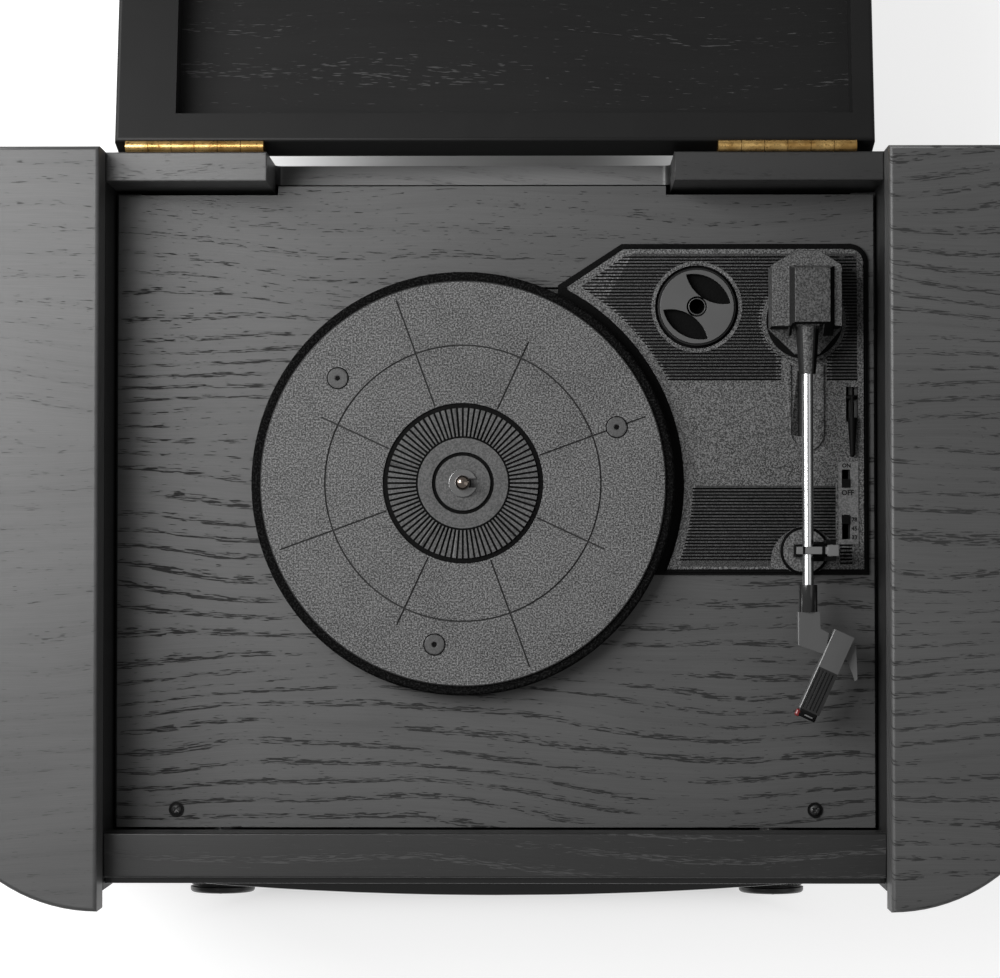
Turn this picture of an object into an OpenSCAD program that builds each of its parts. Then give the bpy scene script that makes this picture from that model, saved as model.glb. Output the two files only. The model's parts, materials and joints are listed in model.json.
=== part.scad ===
// Music center: a black oak cabinet whose lid covers a small belt-driven record player.
// A capped wing with a curved louvred grille stands on each side of the well, and a
// bowed tuning dial sits between two knobs on the front.
// X runs to the right, Y to the back and Z up from the surface the feet stand on.
// The lid is drawn open on its stop, as it stands in use.

/* [Cabinet] */
// Distance between the inner walls of the two wings
well_w = 372; // [364:1:390]
// Width of each wing's cap, which is also the radius of its round front corner
wing_w = 82; // [78:1:92]
// Depth of the caps, front to back
cap_depth = 360; // [352:1:380]
// Thickness of the caps and of the closed lid
slab_t = 25; // [22:0.5:30]
// Radius of the rounded edges of caps and lid
slab_edge = 2; // [1:0.25:3]
// Height of the caps' top above the surface the cabinet stands on
cabinet_h = 220; // [210:1:250]
// How far the wings' bodies stand back under their caps
wing_inset = 8; // [5:0.5:10]
// Thickness of the wings' curved and inner walls
wall_t = 6; // [5:0.5:8]
// Thickness of the base board
base_t = 9; // [6:0.5:15]
// Thickness of the back panel
back_t = 9.5; // [8:0.5:12]
// Height of a rubber foot
foot_h = 12; // [8:0.5:18]
// Diameter of a rubber foot
foot_d = 26; // [18:1:32]
// Distance from a foot's centre to the body's outline
foot_inset = 32; // [26:1:45]

/* [Lid] */
// Running gap all round the closed lid, top and bottom faces left out
lid_side_gap = 4; // [2:0.5:5]
// Gap between the closed lid and what it rests on
lid_seat_gap = 0.4; // [0.3:0.1:1]
// Thickness of the lid's panel
lid_panel_t = 5; // [3:0.5:8]
// Width of the lid frame's left rail
lid_rim_left = 29; // [20:1:34]
// Width of the lid frame's right rail
lid_rim_right = 10.5; // [8:0.5:16]
// Width of the lid frame's rail on the hinge side
lid_rim_hinge = 14; // [10:0.5:18]
// Width of the lid frame's front rail
lid_rim_front = 22; // [14:1:34]
// Depth of the rebate that holds the panel, measured inwards from the recess
lid_rebate = 5; // [3:0.5:8]

/* [Hinges] */
// Diameter of a hinge's knuckles
knuckle_d = 5.4; // [4.6:0.2:7]
// Diameter of a hinge's pin
hinge_pin_d = 2.6; // [2:0.1:3]
// Radial running clearance of the pin in the lid's knuckles
pin_fit = 0.06; // [0.03:0.01:0.09]
// Length of a hinge
hinge_len = 66; // [48:1:70]
// Gap between neighbouring knuckles
knuckle_gap = 0.3; // [0.2:0.05:0.5]
// Thickness of a hinge leaf
leaf_t = 1; // [0.8:0.1:1.4]
// Height of a hinge leaf, from the axis
leaf_h = 14; // [10:0.5:15]
// Distance from the left wing's wall to the left hinge
left_hinge_in = 9.5; // [6:0.5:12]
// Distance from the right wing's wall to the right hinge
right_hinge_in = 13; // [8:0.5:30]
// Length of the left hinge block
left_block_len = 77; // [76:1:90]
// Length of the right hinge block
right_block_len = 100; // [88:1:110]
// Thickness of the hinge blocks
block_t = 14; // [12:0.5:16]
// Depth of the notch between the hinge blocks
notch_h = 59; // [48:1:64]
// Radius of the notch's lower corners
notch_r = 4; // [2:0.5:8]

/* [Front] */
// Thickness of the front rail
rail_t = 21; // [16:0.5:24]
// Height of the front rail
rail_h = 25; // [18:1:30]
// How far the front rail stands back from the lid's front edge
rail_back = 14; // [12:0.5:18]
// Thickness of the board behind the fascia
baffle_t = 9; // [6:0.5:12]
// Thickness of the black front fascia
fascia_t = 3; // [2:0.25:4]
// How far the fascia's top edge lies below the front rail's top
fascia_drop = 4; // [2:0.5:8]
// Width of the bowed dial panel
dial_w = 300; // [290:1:316]
// Height of the bowed dial panel
dial_h = 82; // [70:1:90]
// Height of the dial panel's middle, and of both knobs, above the ground
dial_z = 112; // [98:1:120]
// Thickness of the dial panel at its middle
dial_t = 9; // [8:0.25:10]
// Radius of the dial panel's bowed face
dial_bow_r = 1790; // [1500:10:3000]
// Width of the dial window
window_w = 150; // [120:1:170]
// Height of the dial window
window_h = 34; // [24:1:44]
// Thickness of the dial window
window_t = 1.5; // [1:0.25:2]
// Thickness of the tuning scale plate
scale_t = 1; // [0.8:0.1:1.5]
// Width of the tuning pointer
pointer_w = 1.6; // [1:0.1:3]

/* [Knobs] */
// Diameter of the volume and tuning knobs
knob_d = 32; // [24:1:36]
// Length of a knob
knob_len = 10.5; // [9:0.25:10.5]
// Distance from the cabinet's middle to a knob's centre
knob_x = 136.5; // [125:0.5:140]
// Number of grip flutes round a knob
knob_flutes = 36; // [16:1:48]
// Diameter of a knob's shaft
knob_shaft_d = 6; // [4:0.5:8]
// Radial clearance of a knob's shaft in its bush
shaft_fit = 0.08; // [0.03:0.01:0.1]

/* [Deck] */
// Depth from the lid's seat to the deck's top
deck_drop = 37; // [32:0.5:42]
// Thickness of the deck board
deck_t = 9; // [6:0.5:12]
// Gap between the deck and the wings' walls
deck_gap = 1.8; // [0.8:0.1:3]
// Gap between the deck's back edge and the hinge blocks
deck_back_gap = 2.8; // [1:0.1:4]
// Width of the cleats that carry the deck
cleat_w = 12; // [8:0.5:20]
// Height of those cleats
cleat_h = 14; // [10:0.5:20]
// Diameter of a deck screw's washer
screw_washer_d = 7.4; // [6:0.2:10]
// Distance from the wing's wall to a deck screw
screw_x_in = 31; // [16:1:50]
// Distance from the deck's front edge to a deck screw
screw_y_in = 8.5; // [6:0.5:16]
// Radial clearance of a deck screw in its hole
screw_fit = 0.2; // [0.1:0.05:0.4]

/* [Turntable] */
// Distance from the cabinet's back to the spindle
spindle_from_back = 158; // [150:0.5:164]
// Gap between the mechanism plate and the right wing's wall
plate_wing_gap = 4.3; // [4:0.1:10]
// Diameter of the spindle that records drop over
spindle_d = 7.2; // [7:0.05:7.24]
// Height of the spindle above the mat
spindle_up = 11; // [8:0.5:14]
// Radial running clearance of the platter on the spindle
spindle_fit = 0.06; // [0.03:0.01:0.1]
// Diameter of the platter's rim
platter_d = 205; // [196:0.5:210]
// Thickness of the platter's plate
platter_t = 3; // [2:0.25:4]
// Height of the platter's rim skirt
skirt_h = 8; // [6:0.5:10]
// Height of the platter's underside above the deck
platter_lift = 11; // [10:0.5:14]
// Diameter of the grained disc that carries the record
mat_d = 196; // [180:0.5:198]
// Thickness of the grained disc
mat_t = 1.6; // [1:0.1:2.5]
// Diameter of the raised label ring
label_d = 77; // [70:0.5:84]
// Height of the label ring above the mat
label_up = 0.5; // [0.2:0.1:0.8]
// Number of radial ribs on the label ring
label_ribs = 80; // [48:4:90]
// Diameter of the hub disc inside the label ring
hub_d = 26.4; // [22:0.2:30]
// Diameter of the three rubber buttons
button_d = 9.7; // [6:0.1:12]
// Height of a rubber button above the mat
button_up = 0.8; // [0.4:0.1:1.2]
// Distance from the spindle to a rubber button
button_r = 79; // [60:0.5:84]
// Diameter of the clip that keeps the platter on the spindle
clip_d = 13.6; // [11:0.2:15]
// Thickness of that clip
clip_t = 0.8; // [0.5:0.1:1]
// Diameter of the belt ring under the platter
belt_ring_d = 124; // [100:1:126]
// Diameter of the motor pulley
pulley_d = 10; // [7:0.5:12]
// Distance from the spindle to the motor's shaft
motor_r = 72; // [70:0.5:73]
// Direction from the spindle to the motor's shaft, in degrees
motor_dir = 215; // [200:1:235]
// Diameter of the motor
motor_d = 30; // [24:1:32]
// Length of the motor's can
motor_len = 24; // [18:1:30]
// Diameter of the motor's shaft
motor_shaft_d = 2; // [1.5:0.1:3]
// Width of the drive belt
belt_w = 4; // [3:0.5:5]
// Thickness of the drive belt
belt_t = 0.8; // [0.6:0.1:1.2]
// Clearance between the belt and what it drives
belt_gap = 0.3; // [0.2:0.05:0.4]

/* [Mechanism plate] */
// Thickness of the mechanism plate above the deck
plate_t = 3.5; // [2.5:0.25:4]
// Distance from the spindle to the plate's right edge
plate_right = 197.2; // [193:0.1:198]
// Distance from the spindle to the plate's back edge
plate_back = 117; // [112:0.5:122]
// Distance from the spindle to the plate's front edge
plate_front = 44.3; // [44:0.1:60]
// Gap between the platter's rim and the plate's hollow edge
plate_gap = 4.7; // [3:0.1:8]
// Distance from the spindle to the plate's left tip, across
plate_tip_x = 46; // [40:0.5:52]
// Distance from the spindle to the plate's back left corner, across
plate_corner_x = 77; // [70:0.5:84]
// Radius of the plate's back right corner
plate_corner_r = 9.5; // [6:0.5:12]
// Width of the bevel round the plate
plate_bevel = 2.8; // [1:0.2:3]
// Width of the plain border inside the bevel
plate_border = 3; // [2:0.2:4]
// Pitch of the plate's ribs
rib_pitch = 1.57; // [1.5:0.01:3]
// Depth of the grooves between the ribs
rib_depth = 0.7; // [0.4:0.1:1]
// Distance from the spindle's line to the back ribs
ribs_back_from = 49.9; // [46:0.1:56]
// Distance from the spindle's line to the front ribs, towards the front
ribs_front_from = 1; // [0:0.5:6]
// Width of the groove area's plain strip at the right, where the switches are
switch_strip = 16.5; // [14:0.5:20]
// Wall of the chassis tub under the deck
tub_t = 2; // [1.5:0.25:3]
// Depth of the chassis tub under the deck
tub_h = 34; // [30:1:40]

/* [Adapter] */
// Diameter of the adapter for large-hole records
adapter_d = 38; // [37:0.1:38.2]
// Thickness of the adapter
adapter_t = 4; // [3:0.25:5]
// Clearance round the adapter in its recess
adapter_gap = 1.3; // [1:0.1:3]
// Depth of the adapter's recess in the plate
adapter_recess = 2; // [1:0.25:2.5]
// Distance from the spindle to the adapter, across
adapter_x = 113.5; // [110:0.5:116]
// Distance from the spindle to the adapter, front to back
adapter_y = 86; // [84:0.5:88]
// Clearance of the adapter's hole over the spindle
adapter_fit = 0.1; // [0.05:0.05:0.2]

/* [Tonearm] */
// Distance from the spindle to the arm's pivot, across
pivot_x = 165.5; // [164:0.5:167]
// Distance from the spindle to the arm's pivot, front to back
pivot_y = 79; // [77:0.5:82]
// Diameter of the arm's knurled base
arm_base_d = 40; // [36:0.5:42]
// Height of the arm's knurled base
arm_base_h = 5; // [4:0.5:6]
// Number of flutes round the arm's base
arm_base_flutes = 48; // [24:1:60]
// Height of the arm's axis above the plate
arm_up = 22.5; // [22:0.25:24]
// Diameter of the arm's swing post
arm_post_d = 8; // [6:0.5:9]
// Radial running clearance of the swing post
post_fit = 0.08; // [0.03:0.01:0.1]
// Diameter of the arm tube
tube_d = 5.4; // [5:0.1:6]
// Bore of the arm tube
tube_bore = 4; // [3:0.1:4.4]
// Distance from the pivot to the tube's free end
tube_reach = 125; // [122:0.5:128]
// Length of the tapered sleeve, from the pivot
sleeve_len = 37; // [34:0.5:42]
// Diameter of the tapered sleeve at the pivot
sleeve_d = 11.5; // [10:0.25:12]
// Diameter of the tapered sleeve at its free end
sleeve_end_d = 8; // [7:0.25:9]
// Diameter of the collar that clamps the headshell
collar_d = 9; // [8:0.25:10]
// Length of that collar
collar_len = 10; // [8:0.5:12]
// Length of the pivot axle
pivot_axle_len = 20; // [18:0.5:22]
// Diameter of the pivot axle
pivot_axle_d = 3; // [2.4:0.1:4]
// Offset angle of the headshell, in degrees
offset_angle = 24.5; // [20:0.5:28]
// Length of the headshell
shell_len = 41; // [36:0.5:44]
// Width of the headshell
shell_w = 10.4; // [9:0.2:12]
// Height of the headshell
shell_h = 8; // [7:0.25:9]
// Distance from the headshell's tail to the elbow, along the shell
elbow_at = 13; // [12:0.5:15]
// Number of grooves on the headshell's nose
shell_grooves = 5; // [3:1:7]
// Diameter of the arm rest's base
rest_base_d = 24; // [20:0.5:26]
// Distance from the spindle's line to the arm rest, towards the front
rest_y = 32.6; // [31:0.1:33]
// Clearance between the arm rest and the tube
rest_gap = 0.4; // [0.3:0.1:0.6]

/* [Controls] */
// Width of the switch plate
switch_plate_w = 9.7; // [9.2:0.1:10.4]
// Length of the switch plate
switch_plate_len = 40; // [38:0.5:42]
// Thickness of the switch plate
switch_plate_t = 0.6; // [0.4:0.1:1]
// Width of a slide switch's slot
slot_w = 4; // [3:0.25:5]
// Travel of the speed switch
speed_travel = 7.2; // [5:0.2:8]
// Travel of the automatic stop switch
stop_travel = 4.2; // [3:0.2:5]
// Length of a slide switch's button
slider_len = 4; // [3:0.25:5]
// Height of a slide switch's button above the switch plate
slider_up = 1.4; // [1:0.1:2]
// Clearance of a slide switch's button in its slot
slider_gap = 0.3; // [0.2:0.05:0.5]
// Width of the cue lever's slot
cue_slot_w = 5.7; // [5:0.1:7]
// Length of the cue lever's slot
cue_slot_len = 17; // [14:0.5:19]
// Length of the cue lever, from its pivot
cue_len = 29; // [24:0.5:30]

/* [Inside] */
// Diameter of a speaker's frame
speaker_d = 44; // [36:1:45]
// Depth of a speaker
speaker_depth = 26; // [22:0.5:34]
// Thickness of a speaker's mounting board
speaker_board_t = 6; // [4:0.5:8]
// Distance from the body's front to a speaker's mounting board
speaker_back = 34; // [34:0.5:40]
// Number of louvres in each grille
louvres = 14; // [8:1:20]
// Thickness of a louvre
louvre_t = 5; // [3:0.25:6]
// Thickness of the circuit board
board_t = 1.6; // [1.2:0.1:2]
// Width of the circuit board
board_w = 150; // [100:1:180]
// Depth of the circuit board
board_d = 90; // [70:1:110]
// Height of the circuit board above the base board
board_up = 8; // [5:0.5:12]
// Diameter of the line-out sockets
socket_d = 8.3; // [8:0.1:9]
// Distance between the line-out sockets
socket_pitch = 18; // [14:0.5:24]
// Diameter of the power inlet's opening
inlet_d = 5.5; // [5.5:0.1:6.5]

/* [Hidden] */
$fn = 64;
eps = 0.01;
touch = 0.3;
socket_play = 0.1;
bush_r = 6;
pointer_slot_h = 3;
knob_well_gap = 1;
window_lip = 2;
window_seat = 6;
window_fit = 0.1;
knuckle_count = 6;
bow_steps = 20;

// Places that follow from the sizes above
half = well_w / 2;
body_r = wing_w - wing_inset;
base_top = foot_h + base_t;
seat_z = cabinet_h - slab_t;
deck_z = seat_z - deck_drop;
plate_z = deck_z + plate_t;
notch_z = seat_z - notch_h;
axis_off = knuckle_d / 2;
axis_z = seat_z + lid_seat_gap / 2;
lid_t = slab_t - lid_seat_gap;
lid_lever = norm([axis_off, lid_t + lid_seat_gap / 2]);
// Angle past level at which the lid's back edge rests on the hinge blocks
lid_tilt = atan2(axis_off, lid_t + lid_seat_gap / 2) + asin((axis_off - touch) / lid_lever);
lid_far = (axis_off + cap_depth) * cos(lid_tilt) - (slab_edge + lid_seat_gap / 2) * sin(lid_tilt);
back_y = (cap_depth - axis_off - lid_far) / 2;
axis_y = back_y + axis_off;
front_y = back_y - cap_depth;
arc_y = front_y + wing_w;
rail_y = front_y + rail_back;
fascia_y = rail_y - fascia_t;
panel_y = back_y - back_t;
block_y = back_y - block_t;
deck_front = rail_y + rail_t + touch;
deck_back = block_y - deck_back_gap;
spindle_x = half - plate_wing_gap - plate_right;
spindle_y = back_y - spindle_from_back;
deck_half = half - deck_gap;
// Heights in the turntable, from the deck up
tray_t = 2;
platter_top = deck_z + platter_lift + platter_t;
mat_top = platter_top + mat_t;
label_top = mat_top + label_up;
hub_bottom = deck_z + tray_t + 1.8;
belt_z = deck_z + platter_lift - belt_w - 1;
ring_r = belt_ring_d / 2;
motor_x = spindle_x + motor_r * cos(motor_dir);
motor_y = spindle_y + motor_r * sin(motor_dir);
spindle_r = spindle_d / 2;
hollow_r = platter_d / 2 + plate_gap;
tray_r = platter_d / 2 - 3.5;
tub_r = tray_r - 8;
adapter_pos = [spindle_x + adapter_x, spindle_y + adapter_y];
arm_pos = [spindle_x + pivot_x, spindle_y + pivot_y];
arm_z = plate_z + arm_up;
turret_z = plate_z + arm_base_h + touch;
turret_t = 2.5;
cover_z = turret_z + turret_t;
rest_pos = [arm_pos[0], spindle_y - rest_y];
// Grille and louvres
grille_from = asin(wall_t / (body_r - wall_t));
grille_to = 68;
grille_h = seat_z - base_top;

// A slab with rounded edges over a convex outline
module eased(h, r) {
    hull()
        for (a = [0, 30, 60, 90])
            translate([0, 0, r * (1 - cos(a))])
                linear_extrude(h - 2 * r * (1 - cos(a)))
                    offset(delta = -r * (1 - sin(a)))
                        children();
}

// Draws its children on the right wing and, mirrored, on the left one
module on_side(side) {
    mirror([side < 0 ? 1 : 0, 0, 0]) children();
}

// Outline of a right wing with corner radius r and its back at the given place
module wing_outline(r, to_y) {
    translate([half, arc_y]) square([r, to_y - arc_y]);
    intersection() {
        translate([half, arc_y]) circle(r = r, $fn = 96);
        translate([half, arc_y - r]) square(r);
    }
}

module wing_cap(side) {
    on_side(side)
        translate([0, 0, seat_z])
            eased(slab_t, slab_edge) wing_outline(wing_w, back_y);
}

// Straight side board with the first part of the round corner
module wing_shell(side) {
    on_side(side)
        translate([0, 0, base_top])
            linear_extrude(grille_h)
                difference() {
                    wing_outline(body_r, panel_y);
                    wing_outline(body_r - wall_t, panel_y + 1);
                    translate([half, arc_y])
                        polygon([[-1, 0], [0, 0], [2 * wing_w * sin(grille_to), -2 * wing_w * cos(grille_to)],
                            [-1, -2 * wing_w]]);
                }
}

module wing_wall(side) {
    on_side(side)
        translate([0, 0, base_top])
            linear_extrude(grille_h)
                intersection() {
                    wing_outline(body_r, panel_y);
                    translate([half, front_y]) square([wall_t, cap_depth]);
                }
}

// Section of the grille: two bands and a comb of slanted louvres
module grille_section() {
    band = 8;
    pitch = (grille_h - 2 * band) / louvres;
    translate([body_r - wall_t, 0]) square([wall_t, band]);
    translate([body_r - wall_t, grille_h - band]) square([wall_t, band]);
    for (i = [0 : louvres - 1])
        translate([body_r - wall_t, band + pitch * (i + 0.5)])
            polygon([[0, louvre_t / 2 - 1], [wall_t, -louvre_t / 2], [wall_t, louvre_t / 2 - 1],
                [0, louvre_t / 2 + 1]]);
}

module grille(side) {
    post = 4;
    on_side(side)
        translate([half, arc_y, base_top]) {
            rotate([0, 0, grille_from - 90])
                rotate_extrude(angle = grille_to - grille_from, $fn = 128) grille_section();
            for (a = [grille_from + 0.5, (grille_from + grille_to - post) / 2, grille_to - post - 0.5])
                rotate([0, 0, a - 90])
                    rotate_extrude(angle = post, $fn = 128)
                        translate([body_r - wall_t - 1, 1]) square([wall_t - 0.5, grille_h - 2]);
        }
}

module base_board() {
    color("#1b1b1c")
        translate([0, 0, foot_h])
            linear_extrude(base_t) {
                for (side = [-1, 1]) on_side(side) wing_outline(body_r, back_y);
                translate([-half - eps, rail_y]) square([well_w + 2 * eps, back_y - rail_y]);
            }
}

module rubber_feet() {
    foot_x = half + body_r - foot_inset;
    color("#161616")
        for (x = [-foot_x, foot_x], y = [arc_y - body_r + foot_inset + 12, back_y - foot_inset])
            translate([x, y, 0])
                rotate_extrude($fn = 48)
                    polygon([[0, 0], [foot_d / 2 - 3, 0], [foot_d / 2 - 2, 1], [foot_d / 2, foot_h],
                        [0, foot_h]]);
}

module left_wing_cap() { color("#3a3a3a") wing_cap(-1); }
module right_wing_cap() { color("#3a3a3a") wing_cap(1); }
module left_wing_shell() { color("#333333") wing_shell(-1); }
module right_wing_shell() { color("#333333") wing_shell(1); }
module left_wing_wall() { color("#2b2b2b") wing_wall(-1); }
module right_wing_wall() { color("#2b2b2b") wing_wall(1); }
module left_grille() { color("#202020") grille(-1); }
module right_grille() { color("#202020") grille(1); }

// Concave fillet that fills a corner towards the given side
module fillet(r, side) {
    mirror([side < 0 ? 1 : 0, 0])
        difference() {
            square(r);
            translate([r, r]) circle(r = r, $fn = 32);
        }
}

module back_panel() {
    out = half + body_r;
    color("#2e2e2e")
        difference() {
            translate([0, back_y, 0])
                rotate([90, 0, 0])
                    linear_extrude(back_t) {
                        translate([-out, base_top]) square([2 * out, notch_z - base_top]);
                        for (x = [-out, half]) translate([x, base_top]) square([body_r, grille_h]);
                        translate([-half + left_block_len, notch_z]) fillet(notch_r, 1);
                        translate([half - right_block_len, notch_z]) fillet(notch_r, -1);
                    }
            for (x = socket_xs())
                translate([x, back_y + 1, socket_z()])
                    rotate([90, 0, 0]) cylinder(d = socket_d + 2 * socket_play, h = back_t + 2);
            translate([inlet_x(), back_y + 1, socket_z()])
                rotate([90, 0, 0]) cylinder(d = inlet_d + 6 + 2 * socket_play, h = back_t + 2);
        }
}

// Places of the sockets on the back, beside the circuit board
function socket_xs() = [-socket_pitch / 2, socket_pitch / 2];
function inlet_x() = board_w / 2 - 20;
function socket_z() = base_top + board_up + board_t + 7;

module hinge_block(from_x, len) {
    translate([from_x, block_y, notch_z])
        eased(notch_h, 0.8) square([len, block_t]);
}

module left_hinge_block() { color("#555555") hinge_block(-half, left_block_len); }
module right_hinge_block() { color("#555555") hinge_block(half - right_block_len, right_block_len); }

module front_rail() {
    color("#3c3c3c")
        translate([-half, rail_y, seat_z - rail_h])
            eased(rail_h, 0.8) square([well_w, rail_t]);
}

// Holes for the knobs' bushes and the dial, through whatever stands behind the dial panel
module front_holes(from_y, depth) {
    for (x = [-knob_x, knob_x])
        translate([x, from_y, dial_z])
            rotate([-90, 0, 0]) cylinder(r = bush_r, h = depth);
    translate([-window_w / 2, from_y, pointer_slot_z() - pointer_slot_h / 2])
        cube([window_w, depth, pointer_slot_h]);
}

function pointer_slot_z() = dial_z - window_h / 2 + 4;

module baffle_board() {
    color("#262626")
        difference() {
            translate([-half, rail_y, base_top])
                cube([well_w, baffle_t, seat_z - rail_h - base_top]);
            front_holes(rail_y - 1, baffle_t + 2);
        }
}

module front_fascia() {
    color("#101010")
        difference() {
            translate([-half + touch, fascia_y, foot_h])
                cube([well_w - 2 * touch, fascia_t, seat_z - fascia_drop - foot_h]);
            front_holes(fascia_y - 1, fascia_t + 2);
        }
}

// Bowed panel round the tuning scale, with a round well for each knob
module dial_panel() {
    color("#0e0e0e")
        difference() {
            translate([0, fascia_y, dial_z - dial_h / 2])
                linear_extrude(dial_h)
                    polygon(concat([[dial_w / 2, 0], [-dial_w / 2, 0]],
                        [for (i = [-bow_steps : bow_steps]) bow_point(i * dial_w / 2 / bow_steps)]));
            for (x = [-knob_x, knob_x])
                translate([x, fascia_y + 1, dial_z])
                    rotate([90, 0, 0]) cylinder(d = knob_d + 2 * knob_well_gap, h = dial_t + 2);
            translate([-window_w / 2, fascia_y - dial_t - 1, dial_z - window_h / 2])
                cube([window_w, dial_t + 2, window_h]);
            translate([-window_w / 2 - window_lip, fascia_y - window_seat, dial_z - window_h / 2 - window_lip])
                cube([window_w + 2 * window_lip, window_seat + 1, window_h + 2 * window_lip]);
        }
}

function bow_point(x) = [x, dial_bow_r - sqrt(pow(dial_bow_r, 2) - pow(x, 2)) - dial_t];

module dial_window() {
    lip = window_lip - window_fit;
    color("#c8d2d2", 0.35)
        translate([-window_w / 2 - lip, fascia_y - window_seat, dial_z - window_h / 2 - lip])
            cube([window_w + 2 * lip, window_t, window_h + 2 * lip]);
}

module dial_scale() {
    lip = window_lip - window_fit;
    color("#26282a")
        difference() {
            translate([-window_w / 2 - lip, fascia_y - scale_t, dial_z - window_h / 2 - lip])
                cube([window_w + 2 * lip, scale_t, window_h + 2 * lip]);
            translate([-window_w / 2 + 1, fascia_y - scale_t - 1, pointer_slot_z() - pointer_slot_h / 2])
                cube([window_w - 2, scale_t + 2, pointer_slot_h]);
        }
}

// Pointer in front of the scale, on a stem that runs in the slot to its slider behind
module dial_pointer() {
    bar_t = 0.8;
    bar_y = fascia_y - scale_t - 0.8 - bar_t;
    stem_d = pointer_slot_h - 0.8;
    slider = [14, 4, 9];
    color("#c23a22") {
        translate([-pointer_w / 2, bar_y, dial_z - window_h / 2 + 2])
            cube([pointer_w, bar_t, window_h - 4]);
        translate([0, bar_y, pointer_slot_z()])
            rotate([-90, 0, 0]) cylinder(d = stem_d, h = rail_y + baffle_t + 1 - bar_y);
        translate([-slider[0] / 2, rail_y + baffle_t + touch, pointer_slot_z() - slider[2] / 2])
            cube(slider);
    }
}

// A knob with its shaft: a fluted skirt, a groove and a rounded face
module knob() {
    r = knob_d / 2;
    color("#191919")
        translate([0, fascia_y - touch, dial_z])
            rotate([90, 0, 0]) {
                difference() {
                    rotate_extrude($fn = 96)
                        polygon(concat([[0, 0], [r - 0.6, 0], [r - 0.6, knob_len - 4], [r - 1.4, knob_len - 3.6],
                            [r - 1.4, knob_len - 3.2], [r, knob_len - 2.8]],
                            [for (a = [0 : 15 : 90]) [r - 1.6 + 1.6 * cos(a), knob_len - 1.6 + 1.6 * sin(a)]],
                            [[r - 4, knob_len - 0.5], [0, knob_len - 0.5]]));
                    for (i = [0 : knob_flutes - 1])
                        rotate([0, 0, i * 360 / knob_flutes])
                            translate([r, 0, -1]) cylinder(r = 0.9, h = knob_len - 3.2, $fn = 16);
                }
                translate([0, 0, -knob_shaft_len()])
                    cylinder(d = knob_shaft_d, h = knob_shaft_len() + 1);
            }
}

function knob_shaft_len() = fascia_t + baffle_t + 9;

module volume_knob() { translate([-knob_x, 0, 0]) knob(); }
module tuning_knob() { translate([knob_x, 0, 0]) knob(); }

// Threaded bush and pot body of each knob's control, fixed in the front
module knob_bushes() {
    pot_d = 18;
    color("#8f9296")
        for (x = [-knob_x, knob_x])
            translate([x, fascia_y, dial_z])
                rotate([-90, 0, 0])
                    difference() {
                        union() {
                            translate([0, 0, eps]) cylinder(r = bush_r, h = fascia_t + baffle_t);
                            translate([0, 0, fascia_t + baffle_t]) cylinder(d = pot_d, h = 11);
                        }
                        translate([0, 0, -1]) cylinder(r = knob_shaft_d / 2 + shaft_fit, h = knob_shaft_len() + 1);
                    }
}

// Strips on the wings' walls that the deck's edges lie on
module deck_cleats() {
    color("#2a2a2a")
        for (side = [-1, 1])
            on_side(side)
                difference() {
                    translate([half - cleat_w, rail_y + rail_t + 1, deck_z - deck_t - cleat_h])
                        cube([cleat_w, block_y - rail_y - rail_t - 2, cleat_h]);
                    translate([half - screw_x_in, deck_front + screw_y_in, deck_z - deck_t - cleat_h - 1])
                        cylinder(r = screw_r() + screw_fit, h = cleat_h + 2);
                }
    color("#2a2a2a")
        for (side = [-1, 1])
            on_side(side)
                difference() {
                    translate([half - screw_x_in - 10, rail_y + rail_t + 1, deck_z - deck_t - 14])
                        cube([screw_x_in + 10 - cleat_w - eps, 16, 14]);
                    translate([half - screw_x_in, deck_front + screw_y_in, deck_z - deck_t - cleat_h - 1])
                        cylinder(r = screw_r() + screw_fit, h = cleat_h + 2);
                }
}

function screw_r() = screw_washer_d * 0.2;

// Outline of the hole in the deck that the turntable's chassis hangs in
module tub_outline(gap) {
    translate([spindle_x, spindle_y]) circle(r = tub_r + gap, $fn = 96);
    translate([spindle_x, spindle_y - plate_front + 8 - gap])
        square([plate_right - 8 + gap, plate_front + plate_back - 30 + 2 * gap]);
}

module deck_board() {
    color("#454545")
        difference() {
            translate([0, 0, deck_z - deck_t])
                linear_extrude(deck_t) {
                    translate([-deck_half, deck_front]) square([2 * deck_half, deck_back - deck_front]);
                    translate([-half + left_block_len + deck_back_gap, deck_back - 1])
                        square([well_w - left_block_len - right_block_len - 2 * deck_back_gap,
                            block_y + 1.5 - deck_back + 1]);
                }
            translate([0, 0, deck_z - deck_t - 1]) linear_extrude(deck_t + 2) tub_outline(1);
            for (x = [screw_x_in - half, half - screw_x_in])
                translate([x, deck_front + screw_y_in, deck_z - deck_t - 1])
                    cylinder(r = screw_r() + screw_fit, h = deck_t + 2);
        }
}

// Cross-headed screws with washers
module deck_screws() {
    washer_t = 0.6;
    head_r = screw_washer_d * 0.36;
    slot = [head_r * 1.2, 0.8, 1];
    color("#1c1c1c")
        for (x = [screw_x_in - half, half - screw_x_in])
            translate([x, deck_front + screw_y_in, deck_z])
                difference() {
                    union() {
                        cylinder(d = screw_washer_d, h = washer_t);
                        translate([0, 0, -deck_t - 12]) cylinder(r = screw_r(), h = deck_t + 13);
                        translate([0, 0, washer_t])
                            rotate_extrude($fn = 48)
                                polygon(concat([[0, 0], [head_r, 0]],
                                    [for (a = [0 : 30 : 90]) [head_r * cos(a) * 0.95, 0.4 + 1.1 * sin(a)]]));
                    }
                    for (a = [45, 135])
                        translate([0, 0, washer_t + 1])
                            rotate([0, 0, a]) cube([slot[0], slot[1], slot[2]], center = true);
                }
}

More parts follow.
